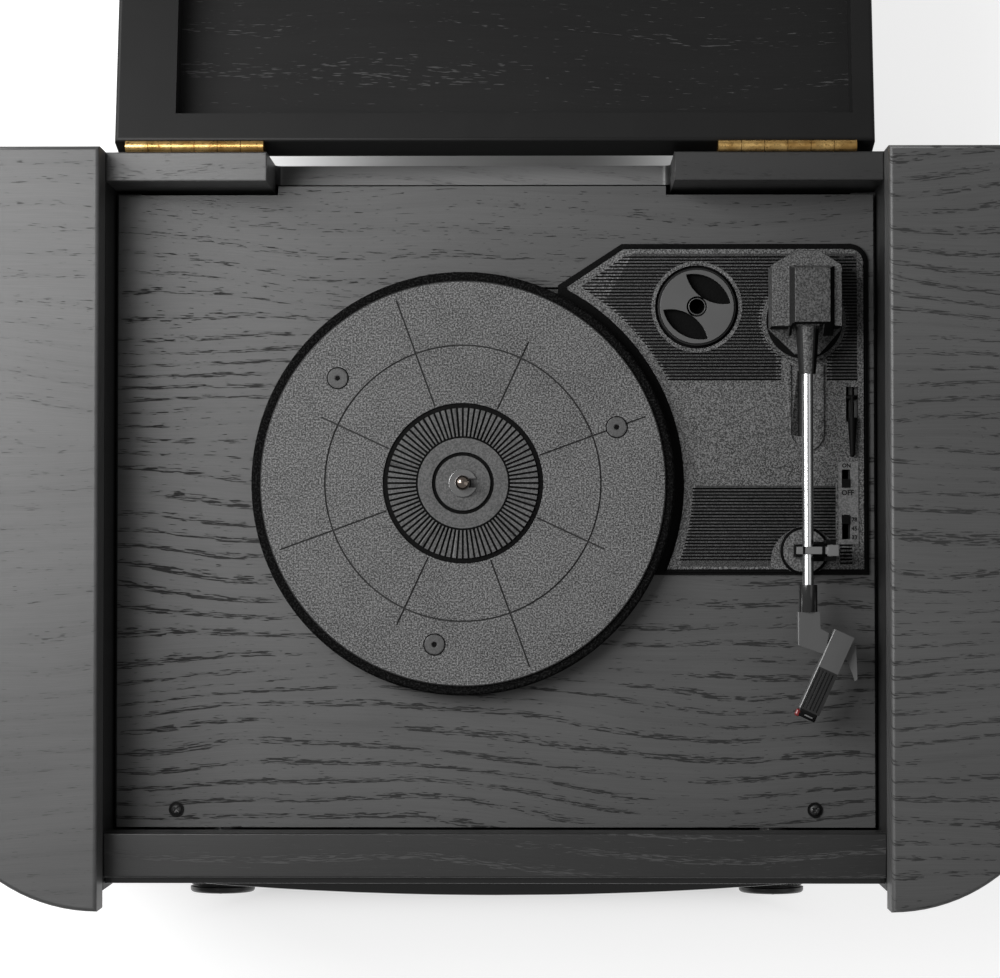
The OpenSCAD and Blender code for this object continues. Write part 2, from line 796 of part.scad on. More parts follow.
// The left hinge starts at its outer end, the right one at its inner end
function hinge_x(side) = side < 0 ? -half + left_hinge_in : half - right_hinge_in - hinge_len;
function knuckle_len() = (hinge_len - (knuckle_count - 1) * knuckle_gap) / knuckle_count;
function knuckle_x(i) = i * (knuckle_len() + knuckle_gap);

// Every other knuckle of a hinge, with its leaf hanging down or standing up behind the wood
module hinge_half(side, first, dir, bore) {
    translate([hinge_x(side), axis_y, axis_z])
        difference() {
            for (i = [first : 2 : knuckle_count - 1])
                translate([knuckle_x(i), 0, 0]) {
                    rotate([0, 90, 0]) cylinder(d = knuckle_d, h = knuckle_len());
                    translate([0, -axis_off, dir > 0 ? 0 : -axis_off])
                        cube([knuckle_len(), leaf_t, axis_off]);
                }
            if (bore > 0)
                translate([-1, 0, 0]) rotate([0, 90, 0]) cylinder(r = bore, h = hinge_len + 2);
        }
    translate([hinge_x(side), back_y, axis_z + (dir > 0 ? axis_off - eps : -leaf_h)])
        cube([hinge_len, leaf_t, leaf_h - axis_off + eps]);
}

// Cabinet half of a hinge with its pin
module cabinet_hinge(side) {
    color("#b08a45") {
        hinge_half(side, 0, -1, 0);
        translate([hinge_x(side), axis_y, axis_z])
            rotate([0, 90, 0]) cylinder(d = hinge_pin_d, h = hinge_len);
    }
}

// Turns what is drawn closed to where the lid stands open
module opened() {
    translate([0, axis_y, axis_z])
        rotate([-180 - lid_tilt, 0, 0])
            translate([0, -axis_y, -axis_z]) children();
}

module left_hinge() { cabinet_hinge(-1); }
module right_hinge() { cabinet_hinge(1); }
module left_lid_leaf() {
    color("#b08a45") opened() hinge_half(-1, 1, 1, hinge_pin_d / 2 + pin_fit);
}
module right_lid_leaf() {
    color("#b08a45") opened() hinge_half(1, 1, 1, hinge_pin_d / 2 + pin_fit);
}

// Frame of the lid, rebated round its recess for the panel
module lid_frame() {
    w = well_w - 2 * lid_side_gap;
    low = seat_z + lid_seat_gap;
    recess = [w - lid_rim_left - lid_rim_right, cap_depth - lid_rim_hinge - lid_rim_front];
    color("#2c2c2c")
        opened()
            difference() {
                translate([0, 0, low])
                    eased(lid_t, slab_edge)
                        translate([-w / 2, front_y]) square([w, cap_depth]);
                translate([lid_rim_left - w / 2, front_y + lid_rim_front, low - 1])
                    cube([recess[0], recess[1], lid_t + 2]);
                translate([lid_rim_left - w / 2 - lid_rebate, front_y + lid_rim_front - lid_rebate,
                    cabinet_h - lid_panel_t])
                    cube([recess[0] + 2 * lid_rebate, recess[1] + 2 * lid_rebate, lid_panel_t + 1]);
            }
}

module lid_panel() {
    w = well_w - 2 * lid_side_gap;
    color("#303030")
        opened()
            translate([lid_rim_left - w / 2 - lid_rebate, front_y + lid_rim_front - lid_rebate,
                cabinet_h - lid_panel_t])
                cube([w - lid_rim_left - lid_rim_right + 2 * lid_rebate,
                    cap_depth - lid_rim_hinge - lid_rim_front + 2 * lid_rebate, lid_panel_t]);
}

// Outline of the mechanism plate, hollowed round the platter and drawn in by the inset
module plate_outline(inset) {
    right = plate_right - inset;
    back = plate_back - inset;
    translate([spindle_x, spindle_y])
        difference() {
            union() {
                polygon([[plate_tip_x + inset * 1.6, plate_tip_y() - inset * 0.4],
                    [plate_corner_x + inset * 0.3, back], [right - plate_corner_r, back],
                    [right, back - plate_corner_r], [right, inset - plate_front],
                    [plate_corner_x, inset - plate_front]]);
                translate([plate_right, plate_back] - [1, 1] * plate_corner_r) circle(r = plate_corner_r - inset);
            }
            circle(r = hollow_r + max(0, inset - plate_bevel) * 1.4, $fn = 180);
        }
}

function plate_tip_y() = sqrt(pow(hollow_r, 2) - pow(plate_tip_x, 2));

// Straight grooves between the ribs, from one distance to another
module rib_grooves(from_y, to_y) {
    count = floor((to_y - from_y) / rib_pitch);
    for (i = [0 : count - 1])
        translate([spindle_x, spindle_y + from_y + (i + 0.25) * rib_pitch])
            square([plate_right, rib_pitch / 2]);
}

module mechanism_plate() {
    border = plate_bevel + plate_border;
    lip = plate_t / 3;
    color("#3b3b3d")
        difference() {
            union() {
                translate([0, 0, deck_z]) linear_extrude(lip) plate_outline(0);
                translate([0, 0, deck_z]) linear_extrude(plate_t * 2 / 3) plate_outline(plate_bevel / 2);
                translate([0, 0, deck_z]) linear_extrude(plate_t) plate_outline(plate_bevel);
                translate([spindle_x, spindle_y, deck_z]) {
                    cylinder(r = tray_r, h = tray_t, $fn = 128);
                    intersection() {
                        cylinder(r = hollow_r + 1, h = lip, $fn = 128);
                        translate([plate_tip_x, -plate_front, 0])
                            cube([plate_right, plate_front + plate_tip_y(), lip]);
                    }
                }
                translate([arm_pos[0], arm_pos[1] - 24, deck_z]) arm_slot_rim();
                translate([0, 0, plate_z - eps])
                    linear_extrude(0.3)
                        difference() {
                            intersection() {
                                plate_outline(border);
                                rest_halo();
                            }
                            translate(rest_pos) circle(d = rest_base_d + 0.6);
                        }
            }
            translate([0, 0, plate_z - rib_depth])
                linear_extrude(rib_depth + 1)
                    difference() {
                        intersection() {
                            plate_outline(border);
                            union() {
                                rib_grooves(ribs_back_from, plate_back - border);
                                difference() {
                                    rib_grooves(border - plate_front + 0.8, -ribs_front_from);
                                    translate([spindle_x + plate_right - switch_strip, spindle_y - plate_front])
                                        square([switch_strip, plate_front]);
                                }
                            }
                        }
                        translate(adapter_pos) circle(r = adapter_d / 2 + adapter_gap + 1.8);
                        translate(arm_pos) circle(d = arm_base_d + 1);
                        rest_halo();
                        translate([arm_pos[0] - 11, arm_pos[1] - 62]) square([22, 50]);
                    }
            translate([adapter_pos[0], adapter_pos[1], plate_z - adapter_recess])
                cylinder(r = adapter_d / 2 + adapter_gap, h = adapter_recess + 1);
            translate([arm_pos[0], arm_pos[1], deck_z - 1])
                cylinder(r = arm_post_d / 2 + 1, h = plate_t + 2);
            translate([arm_pos[0] - 3, arm_pos[1] - 56, plate_z - 1.5]) cube([6, 32, 5]);
            translate([cue_x() - cue_slot_w / 2, cue_y() - cue_slot_len + 5, deck_z - 1])
                cube([cue_slot_w, cue_slot_len, plate_t + 2]);
            for (s = [speed_slot(), stop_slot()])
                translate([switch_x() - slot_w / 2, s[0], deck_z - 1]) cube([slot_w, s[1], plate_t + 2]);
            for (i = [0 : 5])
                translate([switch_x() - 3, rest_pos[1] - 6.4 + i * 1.75, plate_z - 1]) cube([6, 0.9, 2]);
            translate([motor_x, motor_y, deck_z - 1]) cylinder(r = motor_shaft_d / 2 + 2, h = tray_t + 2);
            translate([spindle_x, spindle_y, deck_z - 1]) cylinder(r = spindle_r, h = tray_t + 2);
        }
}

// Outline of the plain raised ring behind the arm rest
module rest_halo() { translate(rest_pos - [0, 5]) circle(d = rest_base_d + 8.6); }

// Rounded rim of the slot under the arm
module arm_slot_rim() {
    r = 9.5;
    translate([0, -30, 0])
        difference() {
            union() {
                cylinder(r = r, h = plate_t + 1.2);
                translate([-r, 0, 0]) cube([2 * r, 33, plate_t + 1.2]);
            }
            translate([0, 0, plate_t - 0.5]) {
                cylinder(r = r - 3, h = 3);
                translate([3 - r, 0, 0]) cube([2 * r - 6, 40, 3]);
            }
        }
}

function cue_x() = arm_pos[0] + 23.2;
function cue_y() = arm_pos[1] - 37;
function switch_x() = arm_pos[0] + 20.2;
// Front end and length of each slide switch's slot
function speed_slot() = [spindle_y - 27, speed_travel + slider_len + 2 * slider_gap];
function stop_slot() = [spindle_y - 2, stop_travel + slider_len + 2 * slider_gap];

// Tub under the deck that closes the drive in
module chassis_tub() {
    color("#1d1d1f")
        translate([0, 0, deck_z - tub_h])
            difference() {
                linear_extrude(tub_h) tub_outline(0);
                translate([0, 0, tub_t]) linear_extrude(tub_h) tub_outline(-tub_t);
            }
}

// Fixed spindle with a foot on the tray, a clip groove and a domed tip
module spindle() {
    tip = mat_top + spindle_up;
    groove = clip_z();
    color("#c9ccd0")
        translate([spindle_x, spindle_y, 0])
            rotate_extrude($fn = 48)
                polygon(concat([[0, deck_z], [spindle_r - 0.02, deck_z], [spindle_r - 0.02, deck_z + tray_t + eps],
                    [9, deck_z + tray_t + eps], [9, deck_z + tray_t + 1.4], [spindle_r, deck_z + tray_t + 1.4],
                    [spindle_r, groove], [spindle_r - 0.5, groove], [spindle_r - 0.5, groove + clip_t],
                    [spindle_r, groove + clip_t]],
                    [for (a = [0 : 15 : 90]) [spindle_r * cos(a), tip - spindle_r * 0.8 + spindle_r * 0.8 * sin(a)]]));
}

function clip_z() = label_top + 0.4;

// Open ring that snaps into the spindle's groove
module spindle_clip() {
    color("#1a1a1a")
        translate([spindle_x, spindle_y, clip_z() + 0.02])
            difference() {
                cylinder(d = clip_d, h = clip_t - 0.04);
                translate([0, 0, -1]) cylinder(r = spindle_r - 0.5 + 0.02, h = clip_t + 2);
                translate([0, 1.5 - spindle_r, -1]) cube([clip_d, 2 * spindle_r - 3, clip_t + 2]);
            }
}

// Platter: hub, plate with a rolled rim and the ring that the belt drives
module platter() {
    r = platter_d / 2;
    inner = ring_r - 2;
    color("#0f0f10")
        translate([spindle_x, spindle_y, 0])
            rotate_extrude($fn = 180)
                polygon([[spindle_r + spindle_fit, hub_bottom], [9, hub_bottom],
                    [9, platter_top - platter_t], [inner, platter_top - platter_t], [inner, belt_z - 0.6],
                    [ring_r, belt_z - 0.6], [ring_r, platter_top - platter_t],
                    [r - 3, platter_top - platter_t], [r - 2.4, platter_top - skirt_h],
                    [r - 0.8, platter_top - skirt_h], [r, platter_top - skirt_h + 1.2], [r, platter_top - 2],
                    [r - 0.5, platter_top - 0.7], [r - 1.6, platter_top], [spindle_r + spindle_fit, platter_top]]);
}

// Grained disc with a ring groove and eight radial grooves, long and short in turn
module platter_mat() {
    groove_w = 0.8;
    groove_d = 0.7;
    ring_groove_r = mat_d * 0.338;
    color("#4a4a4c")
        translate([spindle_x, spindle_y, platter_top])
            difference() {
                rotate_extrude($fn = 180)
                    polygon([[label_d / 2 + touch, 0], [mat_d / 2, 0], [mat_d / 2, mat_t - 0.5],
                        [mat_d / 2 - 0.6, mat_t], [label_d / 2 + touch, mat_t]]);
                translate([0, 0, mat_t - groove_d])
                    rotate_extrude($fn = 128)
                        translate([ring_groove_r, 0]) square([groove_w, 1]);
                for (i = [0 : 7])
                    rotate([0, 0, 20 + i * 45])
                        translate([label_d / 2 + 1, -groove_w / 2, mat_t - groove_d])
                            cube([(i % 2 == 0 ? mat_d * 0.48 : mat_d * 0.385) - label_d / 2 - 1, groove_w, 1]);
                for (i = [0 : 2])
                    rotate([0, 0, button_dir(i)])
                        translate([button_r, 0, mat_t / 2]) cylinder(d = button_d + 2 * touch, h = mat_t);
            }
}

function button_dir(i) = 20 + 120 * i;

// Ring round the spindle: fine radial ribs outside, a plain step and a sunk hub disc
module label_ring() {
    r = label_d / 2;
    top = mat_t + label_up;
    rib_in = r * 0.59;
    groove = 2 * PI * rib_in / label_ribs * 0.56;
    moat = 2.2;
    color("#38383a")
        translate([spindle_x, spindle_y, platter_top])
            difference() {
                rotate_extrude($fn = 128)
                    polygon([[spindle_r + 0.4, 0], [r, 0], [r, top - 1.5], [r - moat, top - 1.5], [r - moat, top],
                        [rib_in, top], [rib_in, top - 0.9], [rib_in - 0.6, top - 0.9], [rib_in - 0.6, top],
                        [hub_d / 2 + 1.8, top - 0.1], [hub_d / 2 + 1.8, top - 1.3], [hub_d / 2, top - 1.3],
                        [hub_d / 2, top - 0.1], [spindle_r + 0.4, top - 0.1]]);
                for (i = [0 : label_ribs - 1])
                    rotate([0, 0, i * 360 / label_ribs])
                        translate([rib_in - 0.3, -groove / 2, top - 0.9]) cube([r - moat - rib_in + 1, groove, 1]);
            }
}

// Three rubber buttons, each with a dimple
module rubber_buttons() {
    r = button_d / 2;
    h = mat_t / 2 + button_up;
    color("#141414")
        translate([spindle_x, spindle_y, platter_top + mat_t / 2])
            for (i = [0 : 2])
                rotate([0, 0, button_dir(i)])
                    translate([button_r, 0, 0])
                        rotate_extrude($fn = 48)
                            polygon([[0, 0], [r, 0], [r, h - 0.4], [r - 0.5, h], [1.6, h], [1.2, h - 0.5], [0, h - 0.5]]);
}

// Closed belt outline: round the platter's ring and the pulley, with straight runs between
module belt_outline(grow) {
    big = ring_r + belt_gap + grow;
    small = pulley_d / 2 + belt_gap + grow;
    lean = acos((big - small) / motor_r);
    translate([spindle_x, spindle_y])
        rotate([0, 0, motor_dir])
            polygon(concat([for (i = [0 : 72]) arc_point(0, big, lean + (360 - 2 * lean) * i / 72)],
                [for (i = [0 : 16]) arc_point(motor_r, small, lean * (i / 8 - 1))]));
}

function arc_point(x, r, a) = [x + r * cos(a), r * sin(a)];

module drive_belt() {
    color("#0c0c0c")
        translate([0, 0, belt_z])
            linear_extrude(belt_w)
                difference() {
                    belt_outline(belt_t);
                    belt_outline(0);
                }
}

module motor() {
    color("#9a9da1")
        translate([motor_x, motor_y, 0]) {
            translate([0, 0, deck_z - motor_len])
                difference() {
                    cylinder(d = motor_d, h = motor_len);
                    translate([0, 0, 2]) cylinder(r = motor_shaft_d / 2 + shaft_fit, h = motor_len);
                }
            translate([0, 0, deck_z - motor_len - 2]) cylinder(d = motor_d / 3, h = 2.5);
        }
}

// Crowned pulley pressed on the motor's shaft
module motor_pulley() {
    r = pulley_d / 2;
    color("#b9924c")
        translate([motor_x, motor_y, 0]) {
            translate([0, 0, deck_z - motor_len + 4]) cylinder(d = motor_shaft_d, h = belt_z - deck_z + motor_len);
            translate([0, 0, belt_z - 0.8])
                rotate_extrude($fn = 48)
                    polygon([[0, 0], [r + 0.25, 0], [r + 0.25, 0.5], [r - 0.2, 0.8], [r, belt_w / 2 + 0.8],
                        [r - 0.2, belt_w + 0.8], [r + 0.25, belt_w + 1], [r + 0.25, belt_w + 1.4], [0, belt_w + 1.4]]);
        }
}

// Disc that fills a large-hole record, with two leaf-shaped windows
module adapter() {
    r = adapter_d / 2;
    leaf_r = r * 0.98;
    color("#4d4d4f")
        translate([adapter_pos[0], adapter_pos[1], plate_z - adapter_recess + touch])
            difference() {
                union() {
                    cylinder(r = r, h = adapter_t - 1, $fn = 96);
                    cylinder(r = r - 1, h = adapter_t, $fn = 96);
                    cylinder(r = 4.2, h = adapter_t + 0.6);
                }
                translate([0, 0, -1]) cylinder(r = spindle_r + adapter_fit, h = adapter_t + 3);
                for (side = [-1, 1])
                    rotate([0, 0, -33])
                        translate([0, side * r * 0.54, -1])
                            intersection_for(y = [-0.725, 0.725])
                                translate([0, leaf_r * y, 0]) cylinder(r = leaf_r, h = adapter_t + 3);
                translate([0, 0, adapter_t - 0.8])
                    rotate_extrude() translate([4.2, 0]) square([0.6, 1]);
            }
}

// Fluted round base with the bore for the arm's post
module arm_base() {
    r = arm_base_d / 2;
    color("#222223")
        translate([arm_pos[0], arm_pos[1], plate_z])
            difference() {
                union() {
                    cylinder(r = r, h = arm_base_h - 1, $fn = 96);
                    cylinder(r = r - 1.4, h = arm_base_h, $fn = 96);
                    translate([0, 0, -plate_t - 8]) cylinder(r = arm_post_d / 2 + 0.9, h = plate_t + 9);
                }
                translate([0, 0, -plate_t - 9])
                    cylinder(r = arm_post_d / 2 + post_fit, h = plate_t + arm_base_h + 10);
                for (i = [0 : arm_base_flutes - 1])
                    rotate([0, 0, i * 360 / arm_base_flutes])
                        translate([r + 0.2, 0, -1]) cylinder(r = 0.8, h = arm_base_h + 2, $fn = 14);
            }
}

// Eight-sided outline of the arm's cover; the turret below it has the full length
module turret_outline() {
    polygon([[-5.5, 32], [5.5, 32], [17.5, 25], [17.5, -4.5], [7, -16.5], [-5, -16.5], [-17.5, -4.5],
        [-17.5, 25]]);
}

// Turning plate with its post and the two ears that carry the arm's axle
module arm_turret() {
    ear_t = 2.4;
    ear_x = pivot_axle_len / 2 - ear_t;
    color("#2c2c2e")
        translate([arm_pos[0], arm_pos[1], 0])
            difference() {
                union() {
                    translate([0, 0, turret_z]) linear_extrude(turret_t) turret_outline();
                    translate([0, 0, deck_z - 7]) cylinder(d = arm_post_d, h = turret_z - deck_z + 7.5);
                    for (side = [-1, 1])
                        on_side(side)
                            translate([ear_x, -2.6, turret_z + 1]) cube([ear_t, 6, arm_z - turret_z + 2.5]);
                }
                translate([-pivot_axle_len, 0, arm_z])
                    rotate([0, 90, 0]) cylinder(r = pivot_axle_d / 2 + pin_fit, h = 2 * pivot_axle_len);
            }
}

// Outline of the cover's shoulder, drawn in by the inset
module cover_outline(inset) {
    w = 17.5 - inset;
    polygon([[-5.5, 32 - inset], [5.5, 32 - inset], [w - 1.2, 25 - inset / 2], [w - 1.2, inset - 4.5],
        [-w, inset - 4.5], [-w, 25 - inset / 2]]);
}

// Faceted cover over the arm's pivot, open at the front for the arm
module arm_cover() {
    wall = 1.6;
    shoulder = arm_z + 6.5 - cover_z;
    rise = seat_z - 0.2 - arm_z - 6.5;
    slot = [sleeve_d + 3.4, 13.5, shoulder + 3.2];
    color("#343436")
        translate([arm_pos[0], arm_pos[1], cover_z])
            difference() {
                union() {
                    linear_extrude(shoulder) cover_outline(0);
                    hull() {
                        translate([-9, -4.5, shoulder - 1]) cube([21.5, 29, 1]);
                        translate([-6.6, -2.7, shoulder - 1]) cube([17, 26, 1 + rise]);
                        translate([-9, -8.5, shoulder - 9]) cube([21.5, 4.5, 1]);
                    }
                }
                translate([0, 0, -1]) linear_extrude(shoulder + 1 - wall) cover_outline(wall);
                translate([-slot[0] / 2, -9.5, -1]) cube([slot[0], slot[1], slot[2]]);
            }
}

// Moves its children to the arm's pivot, with Y along the arm
module at_arm() {
    translate([arm_pos[0], arm_pos[1], arm_z]) children();
}

// Pivot block with its axle, the counterweight behind and the tapered sleeve in front
module arm_block() {
    color("#2a2a2c")
        at_arm() {
            difference() {
                union() {
                    translate([-5.5, -4, -4.5]) cube([11, 12, 9]);
                    translate([0, -3.9, 0])
                        rotate([90, 0, 0])
                            cylinder(d1 = sleeve_d, d2 = sleeve_end_d, h = sleeve_reach() - 3.9, $fn = 64);
                }
                translate([0, -6, 0]) rotate([90, 0, 0]) cylinder(d = tube_d, h = sleeve_reach());
            }
            translate([-pivot_axle_len / 2, 0, 0])
                rotate([0, 90, 0]) cylinder(d = pivot_axle_d, h = pivot_axle_len);
            translate([0, 8 - eps, 0])
                rotate([-90, 0, 0]) cylinder(d = 9, h = 14);
        }
}

function sleeve_reach() = sleeve_len - 10;

// Straight tube from the sleeve to the headshell's collar
module arm_tube() {
    color("#d4d7da")
        at_arm()
            translate([0, -7, 0])
                rotate([90, 0, 0])
                    difference() {
                        cylinder(d = tube_d, h = arm_reach() - 7);
                        translate([0, 0, -1]) cylinder(d = tube_bore, h = arm_reach());
                    }
}

function arm_reach() = tube_reach + 6;
function nose_y() = -arm_reach() - collar_len - 47.5;
function tail() = [shell_len * sin(offset_angle), nose_y() + shell_len * cos(offset_angle)];

// Collar, bent neck and grooved shell, turned in by the offset angle, with a finger lift
module headshell() {
    neck = 10.5;
    neck_y = -arm_reach() - collar_len;
    grooved = shell_len * 0.53;
    pitch = (shell_w - 2) / shell_grooves;
    color("#3a3a3c")
        at_arm() {
            translate([0, -arm_reach() + 3, 0])
                rotate([90, 0, 0])
                    difference() {
                        cylinder(d = collar_d, h = collar_len + 3);
                        translate([0, 0, -1]) cylinder(d = tube_d + 0.04, h = 4);
                    }
            translate([0, 0, -shell_h / 2])
                linear_extrude(shell_h - 0.8)
                    polygon([[-neck / 2, neck_y + eps], [neck / 2, neck_y + eps], [neck / 2 + 0.4, neck_y - 8],
                        [neck / 2 + 4.4, neck_y - 10], tail() + shell_side(elbow_at, shell_w / 2 - 1),
                        [-neck / 2, neck_y - 15.7]]);
            translate([tail()[0], tail()[1], -shell_h / 2])
                rotate([0, 0, -offset_angle])
                    difference() {
                        union() {
                            translate([-shell_w / 2, -shell_len, 0]) cube([shell_w, shell_len, shell_h]);
                            translate([-shell_w / 2 + 1, -shell_len - 1.5, 0.6])
                                cube([shell_w - 2, 2, shell_h - 2]);
                        }
                        translate([1.2 - shell_w / 2, -shell_len + 1, -1])
                            cube([shell_w - 2.4, shell_len - 6, shell_h - 1.4]);
                        for (i = [0 : shell_grooves - 1])
                            translate([1 - shell_w / 2 + (i + 0.3) * pitch, 1 - shell_len, shell_h - 0.5])
                                cube([pitch * 0.4, grooved - 2, 1]);
                    }
            translate([0, 0, -shell_h / 2 + 1])
                linear_extrude(1.2)
                    polygon([tail() + shell_side(3.5, -shell_w / 2 + 0.6), tail() + [6, -6],
                        tail() + [6.6, -22], tail() + [5.4, -23], tail() + [1.5, -12],
                        tail() + shell_side(9, -shell_w / 2 + 0.6)]);
        }
}

// A point on the shell: so far along from its tail, and so far out to its left
function shell_side(along, out) = [-along * sin(offset_angle) - out * cos(offset_angle),
    -along * cos(offset_angle) + out * sin(offset_angle)];

// Cartridge in the shell, with its stylus lever and tip
module cartridge() {
    body = [shell_w - 3, 22, shell_h - 1.8];
    color("#b02420")
        at_arm()
            translate([tail()[0], tail()[1], -shell_h / 2])
                rotate([0, 0, -offset_angle]) {
                    translate([-body[0] / 2, -shell_len + 1.3, -2.4]) cube([body[0], body[1], body[2] + 1]);
                    translate([-body[0] / 2 + 0.4, -shell_len - 2.2, -2.6]) cube([2.6, 8, 2.2]);
                    translate([-body[0] / 2 + 1.7, -shell_len - 1.2, stylus_tip()])
                        cylinder(d1 = 0.4, d2 = 1, h = -stylus_tip() - 2);
                }
}

function stylus_tip() = mat_top + 1.8 - arm_z + shell_h / 2;

// Rest with a saddle under the tube, open on the side of the platter
module arm_rest() {
    saddle_z = arm_z - tube_d / 2 - rest_gap;
    color("#2e2e30")
        translate([rest_pos[0], rest_pos[1], 0])
            difference() {
                union() {
                    translate([0, 0, plate_z]) cylinder(d = rest_base_d, h = 1.6);
                    translate([0, 0, plate_z + 1.5]) cylinder(d1 = rest_base_d, d2 = rest_base_d - 3, h = 1.5);
                    translate([-5.5, -3, plate_z + 1]) cube([19, 6, saddle_z - plate_z - 1]);
                    for (y = [-5, 3])
                        translate([latch_x() - 2.5, y, saddle_z - 4]) cube([5, 2, latch_z() + 2.2 - saddle_z + 4]);
                    translate([latch_x() - 2.5, -5, saddle_z - 4]) cube([5, 10, 4]);
                }
                translate([latch_x(), 6, latch_z()])
                    rotate([90, 0, 0]) cylinder(r = 0.9 + pin_fit, h = 12);
            }
}

function latch_x() = 10.5;
function latch_z() = arm_z + tube_d / 2 + rest_gap + 0.9;

// Hook that lies over the tube and flips up as the arm is lifted
module arm_latch() {
    color("#6a6a6c")
        translate([rest_pos[0], rest_pos[1], 0]) {
            translate([latch_x(), 4.8, latch_z()]) rotate([90, 0, 0]) cylinder(r = 0.9, h = 9.6);
            translate([latch_x() - 1.5, -2.7, latch_z() - 1.6]) cube([5.4, 5.4, 3.2]);
            translate([-5.8, -1.8, latch_z() - 0.9]) cube([latch_x() + 5.8, 3.6, 1.8]);
        }
}

// Cue lever: a wire that leans back out of its slot, with a tapered grip
module cue_lever() {
    color("#121212")
        translate([cue_x(), cue_y(), plate_z - 1.3]) {
            translate([-cue_slot_w / 2 + touch, 0, 0])
                rotate([0, 90, 0]) cylinder(r = 1.1, h = cue_slot_w - 2 * touch);
            translate([-1, -0.9, 0]) cube([2, 1.8, 4.4]);
            translate([0, 0, 4.1])
                rotate([90, 0, 0]) {
                    cylinder(r = 0.9, h = cue_len - 12);
                    translate([0, 0, 10]) cylinder(r1 = 2.3, r2 = 1.2, h = cue_len - 11);
                    translate([0, 0, cue_len - 1]) sphere(r = 1.2, $fn = 24);
                }
        }
}

module switch_plate() {
    color("#6b6b6d")
        difference() {
            translate([switch_x() - slot_w / 2 - 1.6, spindle_y - 29.5, plate_z])
                cube([switch_plate_w, switch_plate_len, switch_plate_t]);
            for (s = [speed_slot(), stop_slot()])
                translate([switch_x() - slot_w / 2, s[0], plate_z - 1]) cube([slot_w, s[1], 3]);
        }
}

// Button of a slide switch, ridged on top, with its stem in the slot
module slider(from_y) {
    w = slot_w - 2 * slider_gap;
    color("#0d0d0d")
        translate([switch_x() - w / 2, from_y, deck_z + 0.5])
            difference() {
                cube([w, slider_len, plate_t + switch_plate_t + slider_up - 0.5]);
                for (k = [0.2, 0.45, 0.7])
                    translate([-1, slider_len * k, plate_t + switch_plate_t + slider_up - 0.9])
                        cube([w + 2, slider_len * 0.12, 1]);
            }
}

module speed_switch() {
    slider(speed_slot()[0] + speed_slot()[1] - slider_gap - slider_len);
}
module stop_switch() {
    slider(stop_slot()[0] + slider_gap);
}

// Speaker: frame, basket and magnet in one turned solid, with its cone in front
module speaker(side) {
    r = speaker_d / 2;
    face_y = front_y + wing_inset + speaker_back;
    centre_x = half + wall_t + r + 2;
    on_side(side) {
        color("#202020")
            translate([centre_x, face_y, speaker_z()])
                rotate([-90, 0, 0])
                    rotate_extrude($fn = 64)
                        polygon([[0, 5], [4, 5.5], [5, 6.5], [r - 5, 1.2], [r - 3, -1], [r, -1], [r, 0], [r - 3, 0.2],
                            [r * 0.5, speaker_depth * 0.55], [r * 0.6, speaker_depth * 0.55],
                            [r * 0.6, speaker_depth], [0, speaker_depth]]);
        color("#5a4632")
            difference() {
                translate([half + wall_t, face_y, base_top]) cube([board_span(face_y), speaker_board_t, grille_h]);
                translate([centre_x, face_y - 1, speaker_z()])
                    rotate([-90, 0, 0]) cylinder(r = r - 1.2, h = speaker_board_t + 2);
            }
    }
}

function speaker_z() = base_top + grille_h / 2;
// Width that a speaker's board has inside the round wing
function board_span(y) = sqrt(pow(body_r - wall_t, 2) - pow(arc_y - y, 2)) - wall_t - 0.5;

module left_speaker() { speaker(-1); }
module right_speaker() { speaker(1); }

// Radio and amplifier board on four pillars, with its sockets through the back
module circuit_board() {
    z = base_top + board_up;
    front = panel_y - board_d - 1;
    socket_y = panel_y - 12;
    color("#2f5d3a") {
        translate([-board_w / 2, front, z]) cube([board_w, board_d, board_t]);
        for (x = [6 - board_w / 2, board_w / 2 - 6], y = [front + 6, front + board_d - 6])
            translate([x, y, base_top]) cylinder(r = 3, h = board_up + eps);
        for (x = socket_xs())
            translate([x, socket_y, socket_z()])
                rotate([-90, 0, 0])
                    difference() {
                        cylinder(d = socket_d, h = back_y + 8 - socket_y);
                        translate([0, 0, 8]) cylinder(d = 3.2, h = back_y + 8 - socket_y);
                    }
        translate([-socket_pitch / 2 - 6, socket_y, z + board_t - eps]) cube([socket_pitch + 12, 10, 14]);
        translate([inlet_x() - 6, socket_y, z + board_t - eps]) cube([12, 10, 14]);
        translate([inlet_x(), socket_y, socket_z()])
            rotate([-90, 0, 0])
                difference() {
                    cylinder(d = inlet_d + 6, h = back_y + 1 - socket_y);
                    translate([0, 0, 4]) cylinder(d = inlet_d, h = back_y + 1 - socket_y);
                }
        for (i = [0 : 3])
            translate([-board_w / 2 + 20 + i * 18, front + 18, z + board_t - eps]) cylinder(r = 5, h = 14);
        translate([10, front + 30, z + board_t - eps]) cube([30, 14, 18]);
    }
}

base_board();
rubber_feet();
left_wing_cap();
right_wing_cap();
left_wing_shell();
right_wing_shell();
left_wing_wall();
right_wing_wall();
left_grille();
right_grille();
back_panel();
left_hinge_block();
right_hinge_block();
front_rail();
baffle_board();
front_fascia();
dial_panel();
dial_scale();
dial_window();
dial_pointer();
volume_knob();
tuning_knob();
knob_bushes();
deck_cleats();
deck_board();
deck_screws();
left_hinge();
right_hinge();
left_lid_leaf();
right_lid_leaf();
lid_frame();
lid_panel();
mechanism_plate();
chassis_tub();
spindle();
spindle_clip();
platter();
platter_mat();
label_ring();
rubber_buttons();
drive_belt();
motor();
motor_pulley();
adapter();
arm_base();
arm_turret();
arm_cover();
arm_block();
arm_tube();
headshell();
cartridge();
arm_rest();
arm_latch();
cue_lever();
switch_plate();
speed_switch();
stop_switch();
left_speaker();
right_speaker();
circuit_board();
